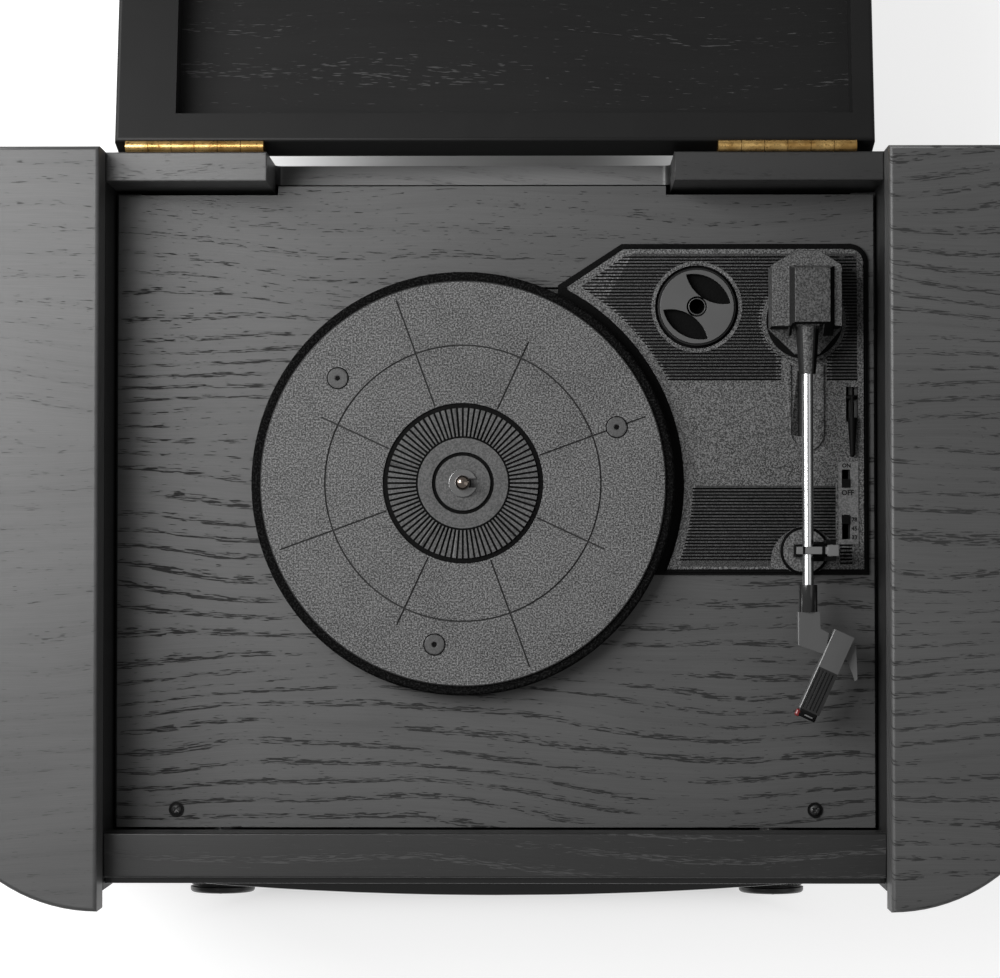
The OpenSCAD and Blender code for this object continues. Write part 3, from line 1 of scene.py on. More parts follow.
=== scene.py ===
"""Looks of a black oak music center: finishes, eased edges, lettering, light and camera.

Places and sizes of pieces are in millimetres and are turned into metres with MM.
"""

import json
import math

import bpy
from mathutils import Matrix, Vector

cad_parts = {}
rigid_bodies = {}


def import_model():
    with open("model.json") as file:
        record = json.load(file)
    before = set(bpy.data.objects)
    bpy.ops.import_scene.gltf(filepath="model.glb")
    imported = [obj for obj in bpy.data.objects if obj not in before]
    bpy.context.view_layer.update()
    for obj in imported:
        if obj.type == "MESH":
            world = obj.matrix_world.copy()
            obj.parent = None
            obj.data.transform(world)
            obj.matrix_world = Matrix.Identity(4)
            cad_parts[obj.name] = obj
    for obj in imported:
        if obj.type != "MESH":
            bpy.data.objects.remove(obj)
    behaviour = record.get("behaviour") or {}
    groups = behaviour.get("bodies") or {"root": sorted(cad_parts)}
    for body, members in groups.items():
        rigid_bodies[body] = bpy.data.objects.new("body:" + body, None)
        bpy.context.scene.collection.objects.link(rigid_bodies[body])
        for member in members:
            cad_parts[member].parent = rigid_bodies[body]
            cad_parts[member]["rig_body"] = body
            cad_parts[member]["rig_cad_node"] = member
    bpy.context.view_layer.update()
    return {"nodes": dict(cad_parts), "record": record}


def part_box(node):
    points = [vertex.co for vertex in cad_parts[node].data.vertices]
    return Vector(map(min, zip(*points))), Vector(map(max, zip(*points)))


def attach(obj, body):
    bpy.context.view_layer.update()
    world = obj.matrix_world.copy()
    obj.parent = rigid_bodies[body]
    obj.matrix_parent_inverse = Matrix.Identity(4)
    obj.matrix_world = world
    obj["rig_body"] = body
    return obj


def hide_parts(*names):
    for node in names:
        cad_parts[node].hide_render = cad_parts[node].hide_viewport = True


MM = 0.001

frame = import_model()
nodes = frame["nodes"]


# Node trees

NUMBER = "NodeSocketFloat"
COLOUR = "NodeSocketColor"
VECTOR = "NodeSocketVector"


def add(tree, kind, inputs=None, **settings):
    """Adds one shader node, sets its properties and its inputs' values or links."""
    made = tree.nodes.new(kind)
    for name, value in settings.items():
        setattr(made, name, value)
    for name, value in (inputs or {}).items():
        if isinstance(value, bpy.types.NodeSocket):
            tree.links.new(value, made.inputs[name])
        else:
            made.inputs[name].default_value = value
    return made


def join(tree, source, target):
    """Links an output to an input."""
    tree.links.new(source, target)


def calc(tree, operation, first, second=0.0):
    """One Math node's output."""
    return add(tree, "ShaderNodeMath", {0: first, 1: second}, operation=operation).outputs[0]


def ramp(tree, value, low, high, to_low=0.0, to_high=1.0):
    """A smooth step from low to high."""
    return add(tree, "ShaderNodeMapRange",
               {"Value": value, "From Min": low, "From Max": high,
                "To Min": to_low, "To Max": to_high},
               interpolation_type="SMOOTHSTEP").outputs["Result"]


def noise(tree, vector, scale, detail=2.0, roughness=0.5, distortion=0.0):
    """A noise texture's value."""
    return add(tree, "ShaderNodeTexNoise",
               {"Vector": vector, "Scale": scale, "Detail": detail, "Roughness": roughness,
                "Distortion": distortion}).outputs[0]


def blend_colour(tree, share, first, second):
    """Mixes two colours by share."""
    return add(tree, "ShaderNodeMix", {0: share, 6: first, 7: second}, data_type="RGBA").outputs[2]


def scale_colour(tree, colour, factor):
    """A colour made lighter or darker by a factor."""
    return add(tree, "ShaderNodeVectorMath", {0: colour, "Scale": factor},
               operation="SCALE").outputs[0]


def split(tree, vector):
    """The three parts of a vector."""
    return add(tree, "ShaderNodeSeparateXYZ", {"Vector": vector}).outputs


def object_place(tree):
    """The place on the object, in metres."""
    return add(tree, "ShaderNodeTexCoord").outputs["Object"]


def grey(value, tint=0.0):
    """A near-neutral colour; a positive tint is cooler."""
    return (value * (1 - tint), value, value * (1 + tint), 1.0)


def group(name, inputs, outputs):
    """An empty shader node group with its sockets."""
    tree = bpy.data.node_groups.new(name, "ShaderNodeTree")
    for label, kind, value in inputs:
        socket = tree.interface.new_socket(label, in_out="INPUT", socket_type=kind)
        if value is not None:
            socket.default_value = value
    for label, kind in outputs:
        tree.interface.new_socket(label, in_out="OUTPUT", socket_type=kind)
    given = tree.nodes.new("NodeGroupInput").outputs
    return tree, given, tree.nodes.new("NodeGroupOutput").inputs


def build_oak_group():
    """Stained open-pored oak: short straight pores, thick in the bands of swaying rings."""
    tree, given, out = group(
        "open pored oak",
        [("Along", NUMBER, None), ("Across", NUMBER, None), ("Ring Pitch", NUMBER, 0.009),
         ("Pore Cover", NUMBER, 0.5), ("Sway", NUMBER, 0.1), ("Seed", NUMBER, 0.0),
         ("Face", COLOUR, grey(0.05)), ("Pore", COLOUR, grey(0.012))],
        [("Color", COLOUR), ("Pores", NUMBER), ("Height", NUMBER)])

    def spot(along, across, lift, across_value=None):
        """A place for a noise: so many cells to the metre each way, lifted by the seed."""
        return add(tree, "ShaderNodeCombineXYZ",
                   {"X": calc(tree, "MULTIPLY", given["Along"], along),
                    "Y": calc(tree, "MULTIPLY", across_value or given["Across"], across),
                    "Z": calc(tree, "ADD", given["Seed"], lift)}).outputs[0]

    # Rings that sway along the board, with soft early wood in about half of each
    drift = calc(tree, "SUBTRACT", noise(tree, spot(3.4, 9.0, 0.0), 1.0, 2.0, 0.45), 0.5)
    shift = calc(tree, "MULTIPLY", drift, given["Sway"])
    bent = calc(tree, "ADD", given["Across"], shift)
    uneven = noise(tree, spot(1.5, 15.0, 3.0, bent), 1.0, 1.0)
    rings = calc(tree, "FRACT", calc(tree, "ADD", calc(tree, "DIVIDE", bent, given["Ring Pitch"]),
                                     calc(tree, "MULTIPLY", uneven, 3.0)))
    early = calc(tree, "MULTIPLY", ramp(tree, rings, 0.0, 0.08), ramp(tree, rings, 0.55, 0.2))

    # Pores, close together in the early wood and in patches
    patch = ramp(tree, noise(tree, spot(14.0, 60.0, 7.0, bent), 1.0, 2.0), 0.3, 0.52)
    thick = calc(tree, "MULTIPLY", calc(tree, "MULTIPLY", early, patch), given["Pore Cover"])
    half_bent = calc(tree, "ADD", given["Across"], calc(tree, "MULTIPLY", shift, 0.6))
    speck = noise(tree, spot(150.0, 2000.0, 11.0, half_bent), 1.0, 1.5, 0.5)
    least = calc(tree, "SUBTRACT", 0.72, calc(tree, "MULTIPLY", thick, 0.23))
    pores = ramp(tree, calc(tree, "SUBTRACT", speck, least), -0.02, 0.05)

    # Fibres and slow changes of tone between the pores
    fibre = noise(tree, spot(38.0, 2600.0, 17.0, half_bent), 1.0, 2.0)
    mottle = noise(tree, spot(9.0, 26.0, 23.0, bent), 1.0, 3.0)
    shade = calc(tree, "ADD", ramp(tree, fibre, 0.25, 0.75, 0.92, 1.08),
                 calc(tree, "ADD", ramp(tree, mottle, 0.3, 0.7, -0.08, 0.08),
                      calc(tree, "MULTIPLY", early, -0.07)))
    face = scale_colour(tree, given["Face"], shade)
    join(tree, blend_colour(tree, pores, face, given["Pore"]), out["Color"])
    join(tree, pores, out["Pores"])
    join(tree, calc(tree, "SUBTRACT", calc(tree, "MULTIPLY", fibre, 0.2), pores), out["Height"])
    return tree


def build_grain_group():
    """Spark-eroded mould texture: fine irregular bumps with a light and a dark tone."""
    tree, given, out = group(
        "moulded grain",
        [("Vector", VECTOR, None), ("Grain Size", NUMBER, 0.0008), ("Contrast", NUMBER, 0.3),
         ("Face", COLOUR, grey(0.05))],
        [("Color", COLOUR), ("Roughness", NUMBER), ("Height", NUMBER)])
    rate = calc(tree, "DIVIDE", 1.0, given["Grain Size"])
    bumps = ramp(tree, noise(tree, given["Vector"], rate, 3.0, 0.6), 0.36, 0.66)
    swing = calc(tree, "MULTIPLY", calc(tree, "SUBTRACT", bumps, 0.5), given["Contrast"])
    cloud = noise(tree, given["Vector"], 16.0, 3.0)
    smudge = noise(tree, given["Vector"], 55.0, 4.0, 0.65, 0.5)
    stain = calc(tree, "ADD", ramp(tree, cloud, 0.3, 0.7, -0.07, 0.07),
                 ramp(tree, smudge, 0.62, 0.45, -0.12, 0.0))
    shade = calc(tree, "ADD", calc(tree, "ADD", swing, 1.0), stain)
    shade = calc(tree, "MAXIMUM", shade, 0.05)
    join(tree, scale_colour(tree, given["Face"], shade), out["Color"])
    join(tree, ramp(tree, cloud, 0.3, 0.7, 0.46, 0.58), out["Roughness"])
    join(tree, bumps, out["Height"])
    return tree


def build_handled_group():
    """Faint smears and dust on smooth surfaces: varies a tone and a roughness."""
    tree, given, out = group(
        "handled surface",
        [("Vector", VECTOR, None), ("Face", COLOUR, grey(0.05)), ("Roughness", NUMBER, 0.3),
         ("Spread", NUMBER, 0.08)],
        [("Color", COLOUR), ("Roughness", NUMBER), ("Height", NUMBER)])
    smear = noise(tree, given["Vector"], 22.0, 4.0, 0.6, 0.6)
    tone = ramp(tree, smear, 0.3, 0.7, 0.93, 1.07)
    join(tree, scale_colour(tree, given["Face"], tone), out["Color"])
    offset = calc(tree, "MULTIPLY", calc(tree, "SUBTRACT", smear, 0.5), given["Spread"])
    join(tree, calc(tree, "ADD", given["Roughness"], offset), out["Roughness"])
    join(tree, noise(tree, given["Vector"], 900.0, 2.0), out["Height"])
    return tree


# The mechanism plate's two ribbed fields, as limits to the right and to the back
BACK_RIBS = ((20, 175.8), (-106.6, -44.6))
FRONT_RIBS = ((20, 165.2), (-197, -157.6))
# The back field's cut corner: the shares of X and Y that make up its slant, and the least of it
CORNER_SHARES = (0.87, 0.5)
CORNER_LEAST = 80.5
# Plain parts that interrupt the ribs: a rectangle, and circles as X, Y and radius
SLOT_RIM = ((136.6, 163.6), (-110, -90))
ADAPTER_RIM = (98, -70.7, 22.1)
ARM_BASE_RIM = (150, -77.7, 22.0)
ARM_REST_RIM = (150, -194.3, 16.3)
PLATTER_RIM = (-15.5, -156.7, 112.6)
# Half the width of the soft line between a field and the parts round it
RIB_BLUR = 0.1


def build_rib_group():
    """The plate's ribbed fields, seen from above: 1 on the ribs, 0 on the plain parts; the mask
    for the ribs' painted shade.
    """
    tree, given, out = group("ribbed field", [("Vector", VECTOR, None)], [("Mask", NUMBER)])
    flat = add(tree, "ShaderNodeVectorMath", {0: given["Vector"], 1: (1, 1, 0)},
               operation="MULTIPLY").outputs[0]
    place = split(tree, flat)

    def both(first, second):
        """1 where two masks are both 1."""
        return calc(tree, "MULTIPLY", first, second)

    def opposite(mask):
        """1 where a mask is 0."""
        return calc(tree, "SUBTRACT", 1.0, mask)

    def beyond(value, edge):
        """1 where a length is more than an edge."""
        return ramp(tree, value, (edge - RIB_BLUR) * MM, (edge + RIB_BLUR) * MM)

    def between(value, low, high):
        """1 where a length lies between two edges."""
        return both(beyond(value, low), opposite(beyond(value, high)))

    def inside(field):
        """1 inside a rectangle."""
        return both(between(place["X"], *field[0]), between(place["Y"], *field[1]))

    def outside(x, y, radius):
        """1 outside a circle."""
        away = add(tree, "ShaderNodeVectorMath", {0: flat, 1: (x * MM, y * MM, 0)},
                   operation="DISTANCE")
        return beyond(away.outputs["Value"], radius)

    slant = calc(tree, "SUBTRACT", calc(tree, "MULTIPLY", place["X"], CORNER_SHARES[0]),
                 calc(tree, "MULTIPLY", place["Y"], CORNER_SHARES[1]))
    back = both(inside(BACK_RIBS), beyond(slant, CORNER_LEAST))
    back = both(both(back, outside(*ADAPTER_RIM)), opposite(inside(SLOT_RIM)))
    back = both(back, outside(*ARM_BASE_RIM))
    front = both(inside(FRONT_RIBS), outside(*ARM_REST_RIM))
    fields = calc(tree, "MAXIMUM", back, front)
    join(tree, both(fields, outside(*PLATTER_RIM)), out["Mask"])
    return tree


OAK = build_oak_group()
GRAIN = build_grain_group()
HANDLED = build_handled_group()
RIB_SHADE_MASK = build_rib_group()


# Finishes

def material(name):
    """A new material with its tree and its Principled shader."""
    made = bpy.data.materials.new(name)
    made.use_nodes = True
    return made, made.node_tree, made.node_tree.nodes["Principled BSDF"]


def set_bump(tree, shader, height, strength, distance):
    """Lets a height raise the surface by up to the distance, in metres."""
    bump = add(tree, "ShaderNodeBump",
               {"Height": height, "Strength": strength, "Distance": distance})
    join(tree, bump.outputs[0], shader.inputs["Normal"])


def oak(name, face, pore, cover=0.5, ring_pitch=0.009, rough=0.42, lie="flat", seed=0.0,
        depth=1.0, sway=0.08, plain_from=None, shine=0.5):
    """Oak with its grain to the right on flat and front faces, or round the sides.

    Its pores thin out between the two places that plain_from gives, in metres across the grain.
    """
    made, tree, shader = material(name)
    spot = split(tree, object_place(tree))
    if lie == "flat":
        along, across = spot["X"], calc(tree, "ADD", spot["Y"], spot["Z"])
    else:
        along, across = calc(tree, "ADD", spot["Y"], spot["X"]), spot["Z"]
    if plain_from:
        cover = ramp(tree, across, *plain_from, cover, cover * 0.3)
    wood = add(tree, "ShaderNodeGroup",
               {"Along": along, "Across": across, "Ring Pitch": ring_pitch, "Pore Cover": cover,
                "Sway": sway, "Seed": seed, "Face": face, "Pore": pore}, node_tree=OAK)
    join(tree, wood.outputs["Color"], shader.inputs["Base Color"])
    join(tree, ramp(tree, wood.outputs["Pores"], 0.0, 1.0, rough, 0.75),
         shader.inputs["Roughness"])
    shader.inputs["Specular IOR Level"].default_value = shine
    set_bump(tree, shader, wood.outputs["Height"], 0.55 * depth, 0.25 * MM)
    return made


def grained(name, face, size, contrast=0.3, strength=0.5, depth=0.12 * MM, shine=0.5, dull=0.0,
            rib_shade=None):
    """Moulded plastic with a fine grain, duller by the given roughness.

    A colour given for the ribs takes the place of the face's on the plate's ribs, as painted shade
    over the ribbed fields.
    """
    made, tree, shader = material(name)
    if rib_shade:
        fields = add(tree, "ShaderNodeGroup", {"Vector": object_place(tree)}, node_tree=RIB_SHADE_MASK)
        face = blend_colour(tree, fields.outputs["Mask"], face, rib_shade)
    skin = add(tree, "ShaderNodeGroup",
               {"Vector": object_place(tree), "Grain Size": size, "Contrast": contrast,
                "Face": face}, node_tree=GRAIN)
    join(tree, skin.outputs["Color"], shader.inputs["Base Color"])
    join(tree, calc(tree, "ADD", skin.outputs["Roughness"], dull), shader.inputs["Roughness"])
    shader.inputs["Specular IOR Level"].default_value = shine
    set_bump(tree, shader, skin.outputs["Height"], strength, depth)
    return made


def smooth(name, face, rough, metal=0.0, spread=0.08, coat=0.0, strength=0.05, shine=0.5):
    """Smooth painted, moulded or metal surface with faint smears."""
    made, tree, shader = material(name)
    skin = add(tree, "ShaderNodeGroup",
               {"Vector": object_place(tree), "Roughness": rough, "Spread": spread,
                "Face": face}, node_tree=HANDLED)
    join(tree, skin.outputs["Color"], shader.inputs["Base Color"])
    join(tree, skin.outputs["Roughness"], shader.inputs["Roughness"])
    shader.inputs["Metallic"].default_value = metal
    shader.inputs["Coat Weight"].default_value = coat
    shader.inputs["Specular IOR Level"].default_value = shine
    set_bump(tree, shader, skin.outputs["Height"], strength, 0.05 * MM)
    return made


BRASS_DARK = (0.42, 0.24, 0.075, 1)
BRASS_WORN = (0.78, 0.52, 0.2, 1)
BRASS_FLECK = (0.2, 0.11, 0.035, 1)
WINDOW_TINT = (0.9, 0.93, 0.93, 1)
ACRYLIC_IOR = 1.49
BOARD_FACE = (0.012, 0.07, 0.03, 1)
BOARD_TRACK = (0.03, 0.16, 0.06, 1)


def old_brass():
    """Brass with dark flecks and a brighter worn tone."""
    made, tree, shader = material("aged brass")
    spot = object_place(tree)
    tarnish = noise(tree, spot, 420.0, 4.0, 0.65)
    cloud = noise(tree, spot, 70.0, 3.0, 0.6)
    worn = blend_colour(tree, ramp(tree, cloud, 0.35, 0.65), BRASS_DARK, BRASS_WORN)
    tone = blend_colour(tree, ramp(tree, tarnish, 0.56, 0.7), worn, BRASS_FLECK)
    join(tree, tone, shader.inputs["Base Color"])
    join(tree, ramp(tree, tarnish, 0.3, 0.7, 0.24, 0.46), shader.inputs["Roughness"])
    shader.inputs["Metallic"].default_value = 1.0
    set_bump(tree, shader, tarnish, 0.25, 0.1 * MM)
    return made


def clear_acrylic():
    """Clear window over the dial."""
    made, tree, shader = material("clear window")
    wipe = noise(tree, object_place(tree), 30.0, 3.0)
    join(tree, ramp(tree, wipe, 0.3, 0.7, 0.03, 0.09), shader.inputs["Roughness"])
    shader.inputs["Base Color"].default_value = WINDOW_TINT
    shader.inputs["Transmission Weight"].default_value = 1.0
    shader.inputs["IOR"].default_value = ACRYLIC_IOR
    return made


def board_green():
    """Circuit board with paler copper tracks under its lacquer."""
    made, tree, shader = material("circuit board")
    cells = add(tree, "ShaderNodeTexVoronoi", {"Vector": object_place(tree), "Scale": 160.0},
                feature="DISTANCE_TO_EDGE", distance="CHEBYCHEV").outputs["Distance"]
    tracks = ramp(tree, cells, 0.1, 0.06)
    join(tree, blend_colour(tree, tracks, BOARD_FACE, BOARD_TRACK), shader.inputs["Base Color"])
    join(tree, ramp(tree, cells, 0.0, 0.3, 0.28, 0.4), shader.inputs["Roughness"])
    set_bump(tree, shader, tracks, 0.2, 0.05 * MM)
    return made


# Wood and lacquer of the cabinet and the lid
CAP_OAK = oak("cap oak", grey(0.053), grey(0.032), cover=0.4, ring_pitch=0.011, rough=0.42,
              seed=3.1, depth=0.4, sway=0.07)
RIGHT_CAP_OAK = oak("right cap oak", grey(0.062), grey(0.012), cover=0.95, ring_pitch=0.008,
                    rough=0.45, seed=7.7, depth=0.8)
DECK_OAK = oak("deck oak", grey(0.06), grey(0.006), cover=1.0, ring_pitch=0.0085, rough=0.4,
               seed=0.4, plain_from=(0.03, 0.15))
RAIL_OAK = oak("rail oak", grey(0.014), grey(0.04), cover=0.9, ring_pitch=0.01, rough=0.4,
               seed=12.3, depth=0.7)
BLOCK_OAK = oak("block oak", grey(0.07), grey(0.034), cover=0.5, ring_pitch=0.01, rough=0.38,
                seed=21.0, depth=0.6)
# The right hinge block's oak is darkened into a painted shade, on the side away from the light
RIGHT_BLOCK_PAINTED_SHADE_OAK = oak("right block oak painted shade", grey(0.02), grey(0.01), cover=0.5, ring_pitch=0.01,
                      rough=0.42, seed=26.0, depth=0.6)
# Pale oak for the back panel's top face in the notch, lighter than the other wood, as painted
# light
NOTCH_PAINTED_LIGHT_OAK = oak("notch oak painted light", grey(0.17), grey(0.11), cover=0.6, ring_pitch=0.01, rough=0.4,
                seed=14.0, depth=0.5)
SIDE_OAK = oak("side oak", grey(0.05), grey(0.013), cover=0.9, ring_pitch=0.01, lie="round",
               seed=5.0)
LID_OAK = oak("lid oak", grey(0.008), grey(0.045), cover=0.5, ring_pitch=0.02, rough=0.5,
              seed=9.4, depth=0.5, shine=0.2)
LID_LACQUER = smooth("lid lacquer", grey(0.008), 0.5, spread=0.1, strength=0.12, shine=0.2)
WALL_LACQUER = smooth("wall lacquer", grey(0.009), 0.5, strength=0.1, shine=0.35)
BOARD_BLACK = grained("black board", grey(0.014), 0.0012, 0.25)

# Front: fascia, dial and knobs
GLOSS_BLACK = smooth("gloss black", grey(0.008), 0.16, spread=0.06, coat=0.5, strength=0.02)
KNOB_BLACK = smooth("knob black", grey(0.016), 0.36, spread=0.1, strength=0.1)
SCALE_DARK = smooth("scale dark", grey(0.02), 0.45)
POINTER_RED = smooth("pointer red", (0.55, 0.05, 0.02, 1), 0.35)
WINDOW = clear_acrylic()
LEGEND = smooth("printed legend", grey(0.42), 0.5)

# Mechanism plate and its controls
# The plate's ribs are painted a darker grey, as painted shade over the ribbed fields
PLATE_PLASTIC = grained("plate plastic", grey(0.078), 0.0007, 2.0, 0.8, rib_shade=grey(0.017))
# The floor of the arm's slot: the plate's plastic darkened as painted shade
SLOT_FLOOR_SHADE = grained("slot floor painted shade", grey(0.03), 0.0008, 1.0, 0.5)
# Near-black: painted shadow in grooves, gaps and on shaded faces, and the black of the stylus clip
SHADOW_BLACK = grained("black and painted shadow", grey(0.003), 0.0011, 0.3, 0.3, shine=0.05)
TUB_PLASTIC = grained("tub plastic", grey(0.02), 0.001, 0.2)
SWITCH_GREY = grained("switch plate grey", grey(0.125), 0.0008, 0.7, 0.4)
SWITCH_BLACK = smooth("switch black", grey(0.003), 0.5, shine=0.08)
DARK_LEGEND = smooth("dark legend", grey(0.008), 0.5, shine=0.1)
ADAPTER_PLASTIC = smooth("adapter plastic", grey(0.066), 0.42, spread=0.05, strength=0.08)
# Painted shade in the adapter's sunk well and leaves
ADAPTER_WELL_SHADE = smooth("adapter well painted shade", grey(0.007), 0.45, shine=0.2)

# Platter
PLATTER_PAINT = grained("platter paint", grey(0.003), 0.001, 5.0, 1.0, 0.25 * MM, shine=0.07,
                        dull=0.2)
MAT_GRAIN = grained("mat grain", grey(0.097), 0.0008, 1.8, 0.8, 0.2 * MM)
# Painted shade in the mat's sunk lines
MAT_GROOVE_SHADE = grained("mat groove painted shade", grey(0.02), 0.0008, 0.8, 0.3, shine=0.2)
RING_PLASTIC = grained("ring plastic", grey(0.055), 0.0009, 0.8, 0.4)
BUTTON_RUBBER = grained("button rubber", grey(0.052), 0.0009, 0.4, 0.3)

# Tonearm and its rest
ARM_PLASTIC = grained("arm plastic", grey(0.062), 0.0008, 1.7, 0.7)
COVER_TOP = grained("cover top", grey(0.042), 0.0008, 1.8, 0.7)
# Painted shade on the steep sides of the arm's sleeve and cover
FACET_PAINTED_SHADE = grained("facet painted shade", grey(0.012), 0.001, 0.5, 0.4, shine=0.2)
ALUMINIUM = smooth("polished tube", grey(0.82, 0.01), 0.2, metal=1.0, spread=0.05, strength=0.01)
SHELL_PLASTIC = smooth("headshell plastic", grey(0.074), 0.34, spread=0.05)
# Painted highlight on the headshell's rounded left rim
EDGE_PAINTED_HIGHLIGHT = smooth("edge painted highlight", grey(0.12), 0.3, spread=0.05)
NOSE_PLASTIC = smooth("nose plastic", grey(0.019), 0.5, spread=0.05, shine=0.15)
LIFT_PLASTIC = smooth("finger lift plastic", grey(0.12), 0.34, spread=0.05)
COLLAR_GLOSS = smooth("collar gloss", grey(0.012), 0.24, coat=0.5)
STYLUS_RED = smooth("stylus red", (0.16, 0.012, 0.012, 1), 0.28, coat=0.4)
REST_PLASTIC = grained("rest plastic", grey(0.082), 0.0008, 1.5, 0.7)
LATCH_GREY = smooth("latch grey", grey(0.12), 0.42)

# Metal, rubber and the circuit board
BRASS = old_brass()
CLIP_STEEL = smooth("clip steel", grey(0.3), 0.2, metal=1.0, spread=0.1)
SPINDLE_CHROME = smooth("spindle chrome", (0.26, 0.22, 0.19, 1), 0.12, metal=1.0, spread=0.06,
                        strength=0.01)
STEEL = smooth("zinc steel", grey(0.45), 0.34, metal=1.0, spread=0.14)
SCREW_BLACK = smooth("black screw", grey(0.003), 0.45, shine=0.1)
SCREW_HEAD = smooth("screw head", grey(0.022), 0.4)
RUBBER = grained("rubber", grey(0.035), 0.0008, 0.2, 0.3)
CIRCUIT = board_green()

FINISH = {
    "base_board": BOARD_BLACK, "rubber_feet": RUBBER, "back_panel": BOARD_BLACK,
    "left_wing_cap": CAP_OAK, "right_wing_cap": RIGHT_CAP_OAK,
    "left_wing_shell": SIDE_OAK, "right_wing_shell": SIDE_OAK,
    "left_wing_wall": WALL_LACQUER, "right_wing_wall": WALL_LACQUER,
    "left_grille": KNOB_BLACK, "right_grille": KNOB_BLACK,
    # The right hinge block takes the oak with painted shade
    "left_hinge_block": BLOCK_OAK, "right_hinge_block": RIGHT_BLOCK_PAINTED_SHADE_OAK,
    "left_hinge": BRASS, "right_hinge": BRASS, "left_lid_leaf": BRASS, "right_lid_leaf": BRASS,
    "lid_frame": LID_LACQUER, "lid_panel": LID_OAK,
    "deck_board": DECK_OAK, "deck_cleats": BOARD_BLACK, "deck_screws": SCREW_BLACK,
    "front_rail": RAIL_OAK, "baffle_board": BOARD_BLACK, "front_fascia": GLOSS_BLACK,
    "dial_panel": GLOSS_BLACK, "dial_scale": SCALE_DARK, "dial_window": WINDOW,
    "dial_pointer": POINTER_RED, "knob_bushes": STEEL,
    "volume_knob": KNOB_BLACK, "tuning_knob": KNOB_BLACK,
    "mechanism_plate": PLATE_PLASTIC, "chassis_tub": TUB_PLASTIC, "adapter": ADAPTER_PLASTIC,
    "spindle": SPINDLE_CHROME, "spindle_clip": CLIP_STEEL,
    "platter": PLATTER_PAINT, "platter_mat": MAT_GRAIN, "label_ring": RING_PLASTIC,
    "rubber_buttons": BUTTON_RUBBER,
    "drive_belt": RUBBER, "motor": STEEL, "motor_pulley": BRASS,
    "arm_base": ARM_PLASTIC, "arm_turret": ARM_PLASTIC, "arm_cover": ARM_PLASTIC,
    "arm_block": ARM_PLASTIC, "arm_tube": ALUMINIUM,
    "headshell": SHELL_PLASTIC, "cartridge": NOSE_PLASTIC,
    "arm_rest": REST_PLASTIC, "arm_latch": LATCH_GREY,
    "cue_lever": SWITCH_BLACK, "switch_plate": SWITCH_GREY,
    "speed_switch": SWITCH_BLACK, "stop_switch": SWITCH_BLACK,
    "left_speaker": BOARD_BLACK, "right_speaker": BOARD_BLACK, "circuit_board": CIRCUIT,
}

for name, finish in FINISH.items():
    mesh = nodes[name].data
    mesh.materials.clear()
    mesh.materials.append(finish)


# Edit mode

SMOOTH_ANGLE = 40.0


def select_only(piece):
    """Makes a piece the only selected and the active one."""
    bpy.ops.object.select_all(action="DESELECT")
    piece.select_set(True)
    bpy.context.view_layer.objects.active = piece


def duplicate_of(piece, name):
    """A copy of a piece with its own mesh, free of the piece's body and CAD node."""
    select_only(piece)
    bpy.ops.object.duplicate()
    copy = bpy.context.view_layer.objects.active
    copy.name = name
    copy.parent = None
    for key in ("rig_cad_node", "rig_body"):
        if key in copy:
            del copy[key]
    select_only(copy)
    return copy


def shade_evenly(piece):
    """Smooth shading over shallow edges, with the large faces kept flat."""
    select_only(piece)
    bpy.ops.object.shade_smooth_by_angle(angle=math.radians(SMOOTH_ANGLE))
    even = piece.modifiers.new("even shading", "WEIGHTED_NORMAL")
    even.keep_sharp = True
    bpy.ops.object.modifier_apply(modifier=even.name)


def cut_across(piece, place, normal):
    """Cuts a piece's faces along a plane, in millimetres, and keeps both sides."""
    select_only(piece)
    bpy.ops.object.mode_set(mode="EDIT")
    bpy.ops.mesh.select_all(action="SELECT")
    bpy.ops.mesh.bisect(plane_co=Vector(place) * MM, plane_no=normal)
    bpy.ops.object.mode_set(mode="OBJECT")


def round_edges(piece, width, picks, segments=3):
    """Rounds the edges that the rule picks by their middle and their faces' normals."""
    mesh = piece.data
    sides = {}
    for face in mesh.polygons:
        for key in face.edge_keys:
            sides.setdefault(key, []).append(face.normal.copy())
    select_only(piece)
    bpy.ops.object.mode_set(mode="EDIT")
    bpy.ops.mesh.select_mode(type="EDGE")
    bpy.ops.mesh.select_all(action="DESELECT")
    bpy.ops.object.mode_set(mode="OBJECT")
    for edge in mesh.edges:
        ends = [mesh.vertices[index].co / MM for index in edge.vertices]
        normals = sides.get(tuple(sorted(edge.vertices)), [])
        edge.select = picks((ends[0] + ends[1]) / 2, normals)
    bpy.ops.object.mode_set(mode="EDIT")
    bpy.ops.mesh.bevel(offset=width * MM, segments=segments, affect="EDGES", clamp_overlap=False)
    bpy.ops.object.mode_set(mode="OBJECT")


# Copies of the CAD nodes with rounded edges

MERGE_DISTANCE = 0.004
FLAT_ANGLE = 0.5
ROUNDED_ANGLE = 30.0

# Width of each piece's rounded edges; those with 0 are only merged and shaded evenly
EASED = {
    "left_wing_cap": 0, "right_wing_cap": 0, "left_hinge_block": 0, "right_hinge_block": 0,
    "front_rail": 0, "lid_frame": 0, "deck_board": 0.4, "platter": 0, "platter_mat": 0,
    "label_ring": 0, "mechanism_plate": 0, "arm_cover": 0.5, "arm_block": 0.3, "headshell": 0,
    "arm_base": 0.15, "arm_turret": 0.3, "adapter": 0.25, "arm_rest": 0.3, "arm_latch": 0.4,
    "switch_plate": 0.15, "cue_lever": 0.1, "spindle_clip": 0.2, "deck_screws": 0,
    "front_fascia": 0.3, "dial_panel": 0.5, "back_panel": 0, "volume_knob": 0.15,
    "tuning_knob": 0.15, "rubber_buttons": 0,
}


